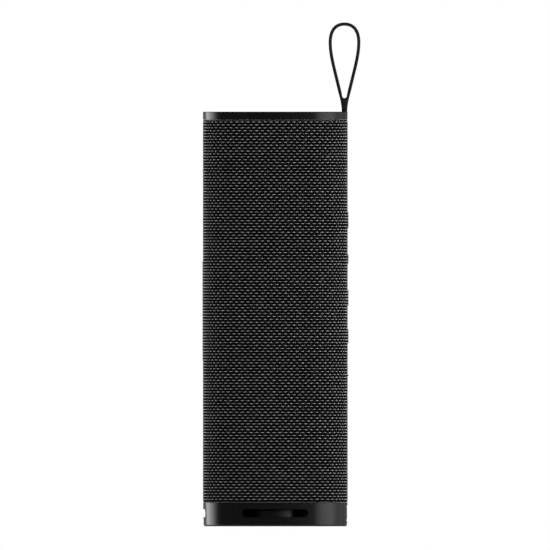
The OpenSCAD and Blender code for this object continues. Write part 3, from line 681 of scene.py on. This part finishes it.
def build_base_floor():
    """The floor with a low dome in the middle and a curved wall behind each vent."""
    turns = outline_turns(8, 12)
    top, inset = 3.4 * MM, 2.5 * MM
    recess, recess_inset = 1.3 * MM, 3.5 * MM
    dome_top, dome_r = 7.2 * MM, 11 * MM
    ball = (dome_r ** 2 + (dome_top - top) ** 2) / (2 * (dome_top - top))
    span = math.degrees(math.asin(dome_r / ball))
    rings = [outline_ring(turns, z, d) for z, d in (
        (recess, recess_inset), (BASE_Z0, recess_inset), (BASE_Z0, inset), (top, inset),
        (top, inset + 0.3 * MM))]
    rings.append(circle_ring(turns, top, dome_r + 0.6 * MM))
    rings += [circle_ring(turns, z, r) for r, z in
              arc(0, dome_top - ball, ball, 90 - span, 89.5, 12)]
    plate = mesh_object("floor_plate", *skin(rings, False))
    floor = join("base_floor", plate, *[deflector(*each) for each in DEFLECTORS])
    return finish_piece(floor, satin_black, "gloss_black", "housing", "base_plate")


def deflector(bearing, half_angle):
    """An upright wall behind a vent, round the middle, with a rounded top edge."""
    r_out, thick, low, top = 23.5 * MM, 1.2 * MM, 3.0 * MM, 8.2 * MM
    edge = 0.35 * MM
    section = [(r_out - thick, low), (r_out, low)]
    section += arc(r_out - edge, top - edge, edge, 0, 90, 5)
    section += arc(r_out - thick + edge, top - edge, edge, 90, 180, 5)
    steps = 48
    rings = []
    for x, y in arc(0, 0, 1, bearing - half_angle, bearing + half_angle, steps):
        rings.append([(r * x, r * y, z) for r, z in section])
    return mesh_object("deflector", *skin(rings, False))


def build_foot():
    """The rubber pad, with three shallow grooves round its underside."""
    turns = outline_turns(8, 12)
    rim, edge, inset = 0.65 * MM, 0.25 * MM, 3.6 * MM
    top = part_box("foot_pad")[1][2]
    rings = [outline_ring(turns, top, inset), outline_ring(turns, BASE_Z0, inset),
             outline_ring(turns, BASE_Z0, rim)]
    rings += [outline_ring(turns, z, d) for d, z in arc(rim + edge, edge, edge, 180, 270, 4)]
    grooves, first, apart, width, depth, steps = 3, 3.0 * MM, 2.4 * MM, 0.8 * MM, 0.2 * MM, 4
    for line in range(grooves):
        for step in range(steps + 1):
            d = first + line * apart + width * step / steps
            rings.append(outline_ring(turns, depth * math.sin(math.pi * step / steps), d))
    foot = mesh_object("foot_pad_rubber", *skin(rings, False))
    return finish_piece(foot, pad_rubber, "strap_rubber", "housing", "foot_pad")


# ---- charging port cover
def build_port_cover():
    """The flap over the port, with its hinge barrel and the plug on its back."""
    gap, thick, inset = 0.3 * MM, 1.6 * MM, 0.3 * MM
    size = (PORT[0] - 2 * gap, PORT[1] - 2 * gap)
    rings = [(-0.22 * MM, inset), (-0.06 * MM, inset + 0.06 * MM), (0.0, inset + 0.24 * MM),
             (0.0, inset + thick)]
    plate = face_loft("cover_plate", 0.0, PORT[2], size, 0.5 * MM, rings)
    pin_r, barrel_r = 0.45 * MM, 0.85 * MM
    hinge = Vector((32.75 * MM, PORT[0] / 2 - gap - 0.95 * MM, PORT[2]))
    barrel = lathe("cover_barrel", [(pin_r, -size[1] / 2), (barrel_r, -size[1] / 2),
                                    (barrel_r, size[1] / 2), (pin_r, size[1] / 2)], 32)
    barrel.data.transform(Matrix.Translation(hinge))
    plug_x, plug_length, plug_height, plug_depth = 31.55 * MM, 7.8 * MM, 2 * MM, 1.8 * MM
    loop = [(u, v) for u, v, _, _ in oblong_sides(plug_length, plug_height, MM, 2, 8)]
    loop += [(-u, -v) for u, v in loop]
    plug = curve_prism("cover_plug", [loop], plug_depth, 0.2 * MM)
    place(plug, lambda x, y, z: (plug_x + z, x, PORT[2] + y))
    cover = join("port_flap", plate, barrel, plug)
    return finish_piece(cover, strap_rubber, "strap_rubber", "port_cover", "port_cover")


# ---- badge
def build_badge():
    """A plain upright metal bar with a rounded edge."""
    low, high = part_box("badge_plate")
    width, height = high[1] - low[1], high[2] - low[2]
    proud = 0.3 * MM
    rings = [(-0.28 * MM, -proud), (-0.1 * MM, -proud * 0.85), (0.0, -proud * 0.45),
             (0.0, 0.0)]
    badge = face_loft("badge_bar", math.pi, (low[2] + high[2]) / 2, (height, width), width / 2,
                      rings, upright=True, steps=(30, 10))
    return finish_piece(badge, badge_metal, "badge_metal", "housing", "badge_plate")


# ---- key symbols
# The symbols' outlines are in millimetres, u along the face and v upward.
SIGN_LENGTH, SIGN_STROKE = 6.6, 0.8      # of the plus and the minus


def box_loop(w, h, middle=0.0):
    """A rectangle with slightly rounded corners, its middle at that v."""
    r = 0.12
    loop = []
    for sx, sy, start in ((1, 1, 0), (-1, 1, 90), (-1, -1, 180), (1, -1, 270)):
        loop += arc(sx * (w / 2 - r), middle + sy * (h / 2 - r), r, start, start + 90, 3)
    return loop


def power_loops():
    """A ring that is open at the top, and an upright bar in its gap."""
    r_out, stroke, gap, drop = 3.55, 0.85, 1.45, -0.25
    a = math.degrees(math.asin(gap / r_out))
    b = math.degrees(math.asin(gap / (r_out - stroke)))
    return [arc(0, drop, r_out, 90 + a, 450 - a, 60)
            + arc(0, drop, r_out - stroke, 450 - b, 90 + b, 60),
            box_loop(stroke, 3.9, 1.8)]


def link_loops():
    """Two rings cut off square on their inner sides, and a bar through both."""
    r_out, stroke, cx, start = 2.15, 0.75, 1.6, 0.85
    a = math.degrees(math.acos((start - cx) / r_out))
    b = math.degrees(math.acos((start - cx) / (r_out - stroke)))
    ring = arc(cx, 0, r_out, -a, a, 36) + arc(cx, 0, r_out - stroke, b, -b, 36)
    return [[(s * x, y) for x, y in ring] for s in (-1, 1)] + [box_loop(3.2, stroke)]


def play_loops():
    """A triangle that points along u."""
    half, left, slant = 3.83, -2.3, 1.6
    return [[(left, -half), (left + slant * half, 0), (left, half)]]


def plus_loops():
    """A cross with square ends."""
    w, t = SIGN_LENGTH / 2, SIGN_STROKE / 2
    return [[(w, -t), (w, t), (t, t), (t, w), (-t, w), (-t, t), (-w, t), (-w, -t),
             (-t, -t), (-t, -w), (t, -w), (t, -t)]]


KEYS = [("key_power", power_loops()), ("key_link", link_loops()), ("key_play", play_loops()),
        ("key_volume_up", plus_loops()),
        ("key_volume_down", [box_loop(SIGN_LENGTH, SIGN_STROKE)])]


def key_z(i):
    return KEY_MID_Z + (2 - i) * KEY_PITCH


def build_key(i, name, loops):
    """A round pad under the fabric with a nub behind it and its symbol in front."""
    low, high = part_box(name)
    pad_front, pad_back, root, bevel = 31.5 * MM, 29.2 * MM, 0.2 * MM, 0.1 * MM
    back, front = low[0], high[0]
    symbols = []
    for loop in loops:
        symbol = curve_prism("symbol", [[(u * MM, v * MM) for u, v in loop]],
                             front - pad_front + root, bevel)
        middle = (front + pad_front - root) / 2
        place(symbol, lambda x, y, z: (middle + z, x, key_z(i) + y))
        symbols.append(symbol)
    pad_r, nub_r = 6 * MM, 1.2 * MM
    nub_edge, back_edge, front_edge = 0.15 * MM, 0.2 * MM, 0.3 * MM
    pad = lathe("pad", [(0, back), (nub_r - nub_edge, back), (nub_r, back + nub_edge),
                        (nub_r, pad_back), (pad_r - back_edge, pad_back),
                        (pad_r, pad_back + back_edge), (pad_r, pad_front - front_edge),
                        (pad_r - front_edge, pad_front), (0, pad_front)], 64, closed=False)
    place(pad, lambda x, y, z: (z, y, key_z(i) + x))
    key = join(name + "_cap", pad, *symbols)
    return finish_piece(key, key_plastic, "key_plastic", name, name)


# ---- fabric
def near_loop(u, v, loop, clear):
    """True inside the closed loop, and outside where it is nearer than clear."""
    inside = False
    for (ax, ay), (bx, by) in zip(loop, loop[1:] + loop[:1]):
        dx, dy = bx - ax, by - ay
        if (ay > v) != (by > v) and u < dx * (v - ay) / dy + ax:
            inside = not inside
        t = max(0.0, min(1.0, ((u - ax) * dx + (v - ay) * dy) / (dx * dx + dy * dy + 1e-12)))
        if math.hypot(u - ax - t * dx, v - ay - t * dy) < clear:
            return True
    return inside


SYMBOLS = [(key_z(i), loops) for i, (_, loops) in enumerate(KEYS)]
SYMBOL_REACH = 4.4 * MM      # no symbol goes further from its middle
KEY_GAP = 0.2 * MM           # between a symbol and the yarns round it


def cut_away(u, z):
    """True where the fabric is open round a key symbol, u from the key face's middle."""
    if abs(u) > SYMBOL_REACH:
        return False
    for mid, loops in SYMBOLS:
        if abs(z - mid) < SYMBOL_REACH:
            a, b = u / MM, (z - mid) / MM
            return any(near_loop(a, b, loop, KEY_GAP / MM) for loop in loops)
    return False


YARN_SIDES = 6
YARN_INSET = 0.22 * MM       # of the yarns' middle layer, from the fabric's surface
WEFT_WAVE = 0.3 * MM         # how far a row rises and falls over the upright yarns
WARP_WAVE = 0.06 * MM        # how far an upright yarn does over the rows
WEFT_HALF = (0.185 * MM, 0.13 * MM)      # half width and half depth of the yarn
WARP_HALF = (0.24 * MM, 0.2 * MM)
GIRTH = perimeter(YARN_INSET)
WARP_STEP = GIRTH / WARP_COUNT
TUCK = 0.5 * MM              # the end rows go in under the cap and the base
TUCK_REACH = 0.42            # millimetres over which that fades
ROWS = ([FABRIC_Z0 + 0.2 * MM] + [TOP_ROW_Z - i * ROW_PITCH for i in range(ROW_COUNT)][::-1]
        + [CAP_Z0 - 0.2 * MM])
# the last number is the painted shade in the weft's dips, as a factor on its colour
weft_yarn = yarn("weft_yarn", (0.2, 0.2, 0.201), (0.33, 0.33, 0.332), 0.36, 1.0, WARP_STEP,
                 0.3)
warp_yarn = yarn("warp_yarn", grey(0.002), grey(0.008), 0.7, 0.05)


def tuck(z):
    """How far the fabric turns in near its top and bottom edges."""
    near = min(z - FABRIC_Z0, CAP_Z0 - z) / MM
    return TUCK * math.exp(-max(near, -0.4) / TUCK_REACH)


class YarnMesh:
    """Collects closed yarn tubes, with a UV that runs along and round each."""

    def __init__(self):
        self.verts, self.quads, self.caps, self.uvs = [], [], [], []
        self.count = 0

    def add(self, rings, lengths, closed):
        """rings is an array (n, sides, 3), lengths the distance along at each."""
        n, sides, _ = rings.shape
        base = self.count
        self.verts.append(rings.reshape(-1, 3))
        rows = np.arange(n if closed else n - 1)
        i = np.arange(sides)
        j = (i + 1) % sides
        a = base + rows[:, None] * sides
        b = base + ((rows + 1) % n)[:, None] * sides
        self.quads.append(np.stack([a + i, a + j, b + j, b + i], axis=-1).reshape(-1, 4))
        ahead = np.append(lengths, lengths[-1] + (lengths[1] - lengths[0])) / MM
        u0, u1, v0, v1 = np.broadcast_arrays(ahead[rows][:, None], ahead[rows + 1][:, None],
                                             i / sides, (i + 1) / sides)
        corners = [np.stack(pair, -1) for pair in ((u0, v0), (u0, v1), (u1, v1), (u1, v0))]
        self.uvs.append(np.stack(corners, axis=2).reshape(-1, 2))
        if not closed:
            self.caps.append([base + k for k in range(sides)][::-1])
            self.caps.append([base + (n - 1) * sides + k for k in range(sides)])
        self.count += n * sides

    def build(self, name):
        quads, caps = np.concatenate(self.quads), np.array(self.caps, dtype=int)
        loops = np.concatenate([quads.ravel(), caps.ravel()])
        sizes = np.concatenate([np.full(len(quads), 4), np.full(len(caps), YARN_SIDES)])
        starts = np.concatenate([[0], np.cumsum(sizes)[:-1]])
        mesh = bpy.data.meshes.new(name)
        mesh.vertices.add(self.count)
        mesh.vertices.foreach_set("co", np.concatenate(self.verts).astype(np.float32).ravel())
        mesh.loops.add(len(loops))
        mesh.loops.foreach_set("vertex_index", loops.astype(np.int32))
        mesh.polygons.add(len(sizes))
        mesh.polygons.foreach_set("loop_start", starts.astype(np.int32))
        mesh.update(calc_edges=True)
        flat = np.zeros((len(loops), 2), dtype=np.float32)
        quad_uv = np.concatenate(self.uvs)
        flat[:len(quad_uv)] = quad_uv
        mesh.uv_layers.new(name="yarn").data.foreach_set("uv", flat.ravel())
        mesh.polygons.foreach_set("use_smooth", np.ones(len(sizes), dtype=bool))
        mesh.validate()
        return new_object(name, mesh)


def runs_of(shown, looped):
    """The unbroken runs of two or more shown places, as lists of indices. In a looped
    sequence a run may pass the end."""
    start = shown.index(False) if looped else 0
    order = [(start + k) % len(shown) for k in range(len(shown))]
    runs = [list(run) for is_shown, run in groupby(order, lambda i: shown[i]) if is_shown]
    return [run for run in runs if len(run) > 1]


def yarn_section(half_along, half_out):
    """The yarn's flattened cross-section, as (across, outward) offsets."""
    turns = [2 * math.pi * k / YARN_SIDES for k in range(YARN_SIDES)]
    return np.array([(half_along * math.cos(a), half_out * math.sin(a)) for a in turns])


def share(count, part, parts):
    """The indices in one of several nearly equal parts of a count."""
    return range(count * part // parts, count * (part + 1) // parts)


def build_weft(rng):
    """Rows of grey yarn round the body, each over one upright yarn and under the next."""
    bands, per_warp, wander_steps = 6, 4, 12
    wander, uneven, swell = 0.008 * MM, 0.03, 0.16
    steps = WARP_COUNT * per_warp
    step_length = GIRTH / steps
    lengths = np.arange(steps) * step_length
    spots, normals = np.zeros((steps, 3)), np.zeros((steps, 3))
    for i, s in enumerate(lengths):
        spots[i], normals[i] = outline_at(turn_at_length(s, YARN_INSET), YARN_INSET)
    section = yarn_section(*WEFT_HALF)
    pieces = []
    for band in range(bands):
        yarns = YarnMesh()
        for row in share(len(ROWS), band, bands):
            z = ROWS[row]
            wave = np.cos(math.pi * (np.arange(steps) / per_warp - 0.5 + row % 2))
            offsets = rng.normal(0, wander, steps // wander_steps + 2)
            drift = np.interp(np.arange(steps), np.arange(len(offsets)) * wander_steps, offsets)
            fat = (1 + rng.normal(0, uneven)) * (1 - swell + swell * wave)[:, None]
            tucked = row in (0, len(ROWS) - 1)
            rise = WEFT_WAVE * wave * (0.3 if tucked else 1) - tuck(z)
            from_crown = (row % 2 - 0.5 + tucked) * WARP_STEP
            rings = (spots[:, None, :] + normals[:, None, :]
                     * (rise[:, None] + section[None, :, 1] * fat)[:, :, None])
            rings[:, :, 2] += z + drift[:, None] + section[None, :, 0] * fat
            shown = [not cut_away(signed(s), z) for s in lengths]
            closed = all(shown)
            for run in [list(range(steps))] if closed else runs_of(shown, True):
                along = lengths[run[0]] + np.arange(len(run)) * step_length + from_crown
                yarns.add(rings[run], along, closed)
        pieces.append(yarns.build(f"fabric_weft_{band + 1}"))
    return pieces


def signed(s):
    return s if s < GIRTH / 2 else s - GIRTH


def build_warp(rng):
    """Upright black yarns, over and under the rows."""
    groups, per_row, uneven = 6, 3, 0.01
    count = ROW_COUNT * per_row + 3
    heights = TOP_ROW_Z - ROW_COUNT * ROW_PITCH + np.arange(count) * ROW_PITCH / per_row
    tucks = np.array([tuck(z) for z in heights])
    section = yarn_section(*WARP_HALF)
    pieces = []
    for group in range(groups):
        yarns = YarnMesh()
        for warp in share(WARP_COUNT, group, groups):
            s = ((warp + 0.5 + rng.normal(0, uneven)) * WARP_STEP) % GIRTH
            spot, out = outline_at(turn_at_length(s, YARN_INSET), YARN_INSET)
            spot, out, side = np.array(spot), np.array(out), np.array((-out.y, out.x, 0))
            rise = WARP_WAVE * np.cos(math.pi * (np.arange(count) / per_row + warp + 1)) - tucks
            centre = spot + out * rise[:, None]
            centre[:, 2] = heights
            rings = (centre[:, None, :] + out * section[None, :, 1:2]
                     + side * section[None, :, 0:1])
            shown = [not cut_away(signed(s), z) for z in heights]
            for run in runs_of(shown, False):
                yarns.add(rings[run], heights[run], False)
        pieces.append(yarns.build(f"fabric_warp_{group + 1}"))
    return pieces


def build_backing():
    """The thin bonded layer under the yarns, open round each key symbol."""
    turns = outline_turns(16, 20)
    outer, inner, steps = 0.76 * MM, 0.8 * MM, 60
    z0, z1 = FABRIC_Z0 + 0.05 * MM, CAP_Z0 - 0.05 * MM
    rings = [outline_ring(turns, z0 + (z1 - z0) * i / steps, outer) for i in range(steps + 1)]
    rings += [outline_ring(turns, z1 - (z1 - z0) * i / steps, inner) for i in range(steps + 1)]
    backing = mesh_object("fabric_backing", *skin(rings, True))
    hole_r, hole_x, hole_depth = 5 * MM, 32 * MM, 4 * MM
    cutters = []
    for i in range(len(KEYS)):
        cutter = lathe("cutter", [(0, 0), (hole_r, 0), (hole_r, hole_depth), (0, hole_depth)],
                       48, closed=False)
        place(cutter, lambda x, y, z: (hole_x + z, y, key_z(i) + x))
        cutters.append(cutter)
    cut(backing, *cutters)
    return finish_piece(backing, backing_black, "woven_fabric", "housing", "fabric_sleeve")


def build_fabric():
    """The cloth yarn by yarn over its backing sheet."""
    rng = np.random.default_rng(7)
    backing = build_backing()
    wefts = [finish_piece(o, weft_yarn, "woven_fabric", "housing") for o in build_weft(rng)]
    warps = [finish_piece(o, warp_yarn, "woven_fabric", "housing") for o in build_warp(rng)]


# ---- passive radiators
def build_radiator(side):
    """Fixed ring, rubber roll and dished plate. The profiles are (radius, height over
    the face) in millimetres."""
    up = side == "upper"
    face_z = CAP_Z0 - 0.2 * MM if up else FABRIC_Z0 - 1.3 * MM
    roll_mid, roll_r, roll_t, roll_z = 18.5, 3.0, 0.4, -0.4
    foot_z, play = roll_z - 0.8, 0.05
    r_in, r_out = roll_mid - roll_r, roll_mid + roll_r
    ring = [(r_out + 0.02, -1.3), (24.6, -1.3), (24.6, -0.15), (24.45, 0.0),
            (22.4, 0.0), (22.0, -0.08), (r_out + 0.02, -0.4)]
    roll = ([(r_in, foot_z)] + arc(roll_mid, roll_z, roll_r, 180, 0, 28)
            + [(r_out, foot_z), (r_out - roll_t, foot_z)]
            + arc(roll_mid, roll_z, roll_r - roll_t, 0, 180, 28) + [(r_in + roll_t, foot_z)])
    r = r_in - play
    plate = [(0, -3.6), (11, -3.6), (11, -1.2), (r, -1.2), (r, 0.0), (r - 0.25, 0.32),
             (r - 0.6, 0.4), (12.4, 0.5), (12.1, 0.46), (11.6, 0.16), (11.2, 0.1), (10.9, 0.1),
             (0, 0.34)]
    for name, profile, mat, slot_name, body, closed in (
            (f"{side}_radiator_frame", ring, trim_black, "matte_black", "housing", True),
            (f"{side}_radiator_surround", roll, roll_rubber, "roll_rubber", "housing", True),
            (f"{side}_radiator_plate", plate, radiator_face, "radiator_face",
             f"{side}_radiator", False)):
        points = [(a * MM, face_z + b * MM if up else face_z - b * MM) for a, b in profile]
        obj = lathe(name + "_visual", points, 144, closed=closed)
        finish_piece(obj, mat, slot_name, body, name)


# ---- build
build_cap()
build_strap()
build_base()
build_base_floor()
build_foot()
build_port_cover()
build_badge()
for key_index, (key_name, key_loops) in enumerate(KEYS):
    build_key(key_index, key_name, key_loops)
for radiator_side in ("lower", "upper"):
    build_radiator(radiator_side)
build_fabric()


# ---- stage
def build_stage():
    """A wide pale floor that glows a little and isn't seen in what is glossy."""
    far = 6
    floor = mesh_object("floor", [(-far, -far, 0), (far, -far, 0), (far, far, 0), (-far, far, 0)],
                        [(0, 1, 2, 3)])
    mat, tree, shader = principled("pale_floor")
    where = tree.nodes.new("ShaderNodeTexCoord").outputs["Object"]
    color = ramp(tree, noise_node(tree, where, 3.0), grey(0.86), grey(0.9))
    set_inputs(tree, shader, Base_Color=color, Roughness=0.9, Specular_IOR_Level=0.0,
               Emission_Color=(1, 1, 1, 1), Emission_Strength=0.3)
    floor.data.materials.append(mat)
    floor.visible_glossy = False


# The soft boxes: bearing from -Y towards +X, half width and half height, all in
# degrees, then the brightness that glossy surfaces and matt ones see. The last one
# goes all the way round.
SOFT_BOXES = [(-122, 29, 40, 2.75, 7.0), (58, 34, 40, 1.4, 2.2), (100, 38, 40, 0.45, 7.0),
              (0, 400, 25, 0.11, 0.0)]
ROOM_SHINY, ROOM_MATT = 0.01, 0.1
FLOOR_SHINY = 0.45           # what glossy surfaces see below
CEILING_SHINY, CEILING_MATT = 0.3, 0.7
HIGH_BOXES = 0.15            # how much of the boxes glossy surfaces see high up


def build_light():
    """The studio as a sky of soft boxes in a dim room. Matt surfaces see wide bright
    boxes and a ceiling, glossy ones see dimmer boxes that end just above the horizon,
    a floor and a ceiling, and the camera sees white."""
    world = bpy.data.worlds.new("studio")
    bpy.context.scene.world = world
    world.use_nodes = True
    world.cycles.sampling_method = "NONE"
    tree = world.node_tree
    tree.nodes.clear()
    where = tree.nodes.new("ShaderNodeTexCoord").outputs["Generated"]
    shiny, matt = ROOM_SHINY, ROOM_MATT
    for *box, shiny_power, matt_power in SOFT_BOXES:
        lobe = soft_box(tree, where, *box)
        shiny = math_node(tree, "MULTIPLY_ADD", lobe, shiny_power, shiny)
        matt = math_node(tree, "MULTIPLY_ADD", lobe, matt_power, matt)
    height = add_node(tree, "ShaderNodeSeparateXYZ", Vector=where).outputs["Z"]
    floor = smooth_step(tree, height, -0.2, -0.65)
    ceiling = smooth_step(tree, height, 0.5, 0.95)
    low = smooth_step(tree, height, 0.2, 0.1)
    seen = math_node(tree, "MULTIPLY_ADD", low, 1 - HIGH_BOXES, HIGH_BOXES)
    shiny = math_node(tree, "MULTIPLY", shiny, seen)
    shiny = math_node(tree, "MULTIPLY_ADD", floor, FLOOR_SHINY, shiny)
    shiny = math_node(tree, "MULTIPLY_ADD", ceiling, CEILING_SHINY, shiny)
    matt = math_node(tree, "MULTIPLY_ADD", ceiling, CEILING_MATT, matt)
    matt_sky, shiny_sky, white = [
        add_node(tree, "ShaderNodeBackground", Color=(1, 1, 1, 1), Strength=strength).outputs[0]
        for strength in (matt, shiny, 1.0)]
    path = tree.nodes.new("ShaderNodeLightPath")
    mixed = matt_sky
    for ray, sky in (("Is Glossy Ray", shiny_sky), ("Is Camera Ray", white)):
        mix = tree.nodes.new("ShaderNodeMixShader")
        for socket, source in zip(mix.inputs, (path.outputs[ray], mixed, sky)):
            set_input(tree, socket, source)
        mixed = mix.outputs[0]
    add_node(tree, "ShaderNodeOutputWorld", Surface=mixed)


def smooth_step(tree, value, zero_at, one_at):
    """0 at zero_at, 1 at one_at and beyond, smooth between."""
    low, high = sorted((zero_at, one_at))
    at_low = float(zero_at > one_at)
    node = add_node(tree, "ShaderNodeMapRange", Value=value, From_Min=low, From_Max=high,
                    To_Min=at_low, To_Max=1 - at_low)
    node.interpolation_type = "SMOOTHSTEP"
    return node.outputs["Result"]


def soft_box(tree, where, bearing, width, tall):
    """exp(-|turn/width|^3 - |rise/tall|^3), by direction."""
    b = math.radians(bearing)

    def dot(*vector):
        node = add_node(tree, "ShaderNodeVectorMath", "DOT_PRODUCT")
        for socket, value in zip(node.inputs, (where, vector)):
            set_input(tree, socket, value)
        return node.outputs["Value"]

    turn = math_node(tree, "ARCTAN2", dot(math.cos(b), math.sin(b), 0),
                     dot(math.sin(b), -math.cos(b), 0))
    rise = math_node(tree, "ARCSINE", dot(0, 0, 1))
    falls = []
    for angle, reach in ((turn, width), (rise, tall)):
        ratio = math_node(tree, "DIVIDE", angle, math.radians(reach))
        falls.append(math_node(tree, "POWER", math_node(tree, "ABSOLUTE", ratio), 3.0))
    fall = math_node(tree, "ADD", *falls)
    return math_node(tree, "EXPONENT", math_node(tree, "MULTIPLY", fall, -1.0))


def build_camera():
    """Parallel rays along +Y, level with the middle of the picture."""
    camera = bpy.data.cameras.new("camera")
    camera.type = "ORTHO"
    camera.ortho_scale = 0.26
    obj = bpy.data.objects.new("camera", camera)
    obj.location = (-0.15 * MM, -1.0, 118.8 * MM)
    obj.rotation_euler = (math.pi / 2, 0, 0)
    bpy.context.scene.collection.objects.link(obj)
    bpy.context.scene.camera = obj


build_stage()
build_light()
build_camera()
bpy.context.scene.view_settings.view_transform = "Standard"
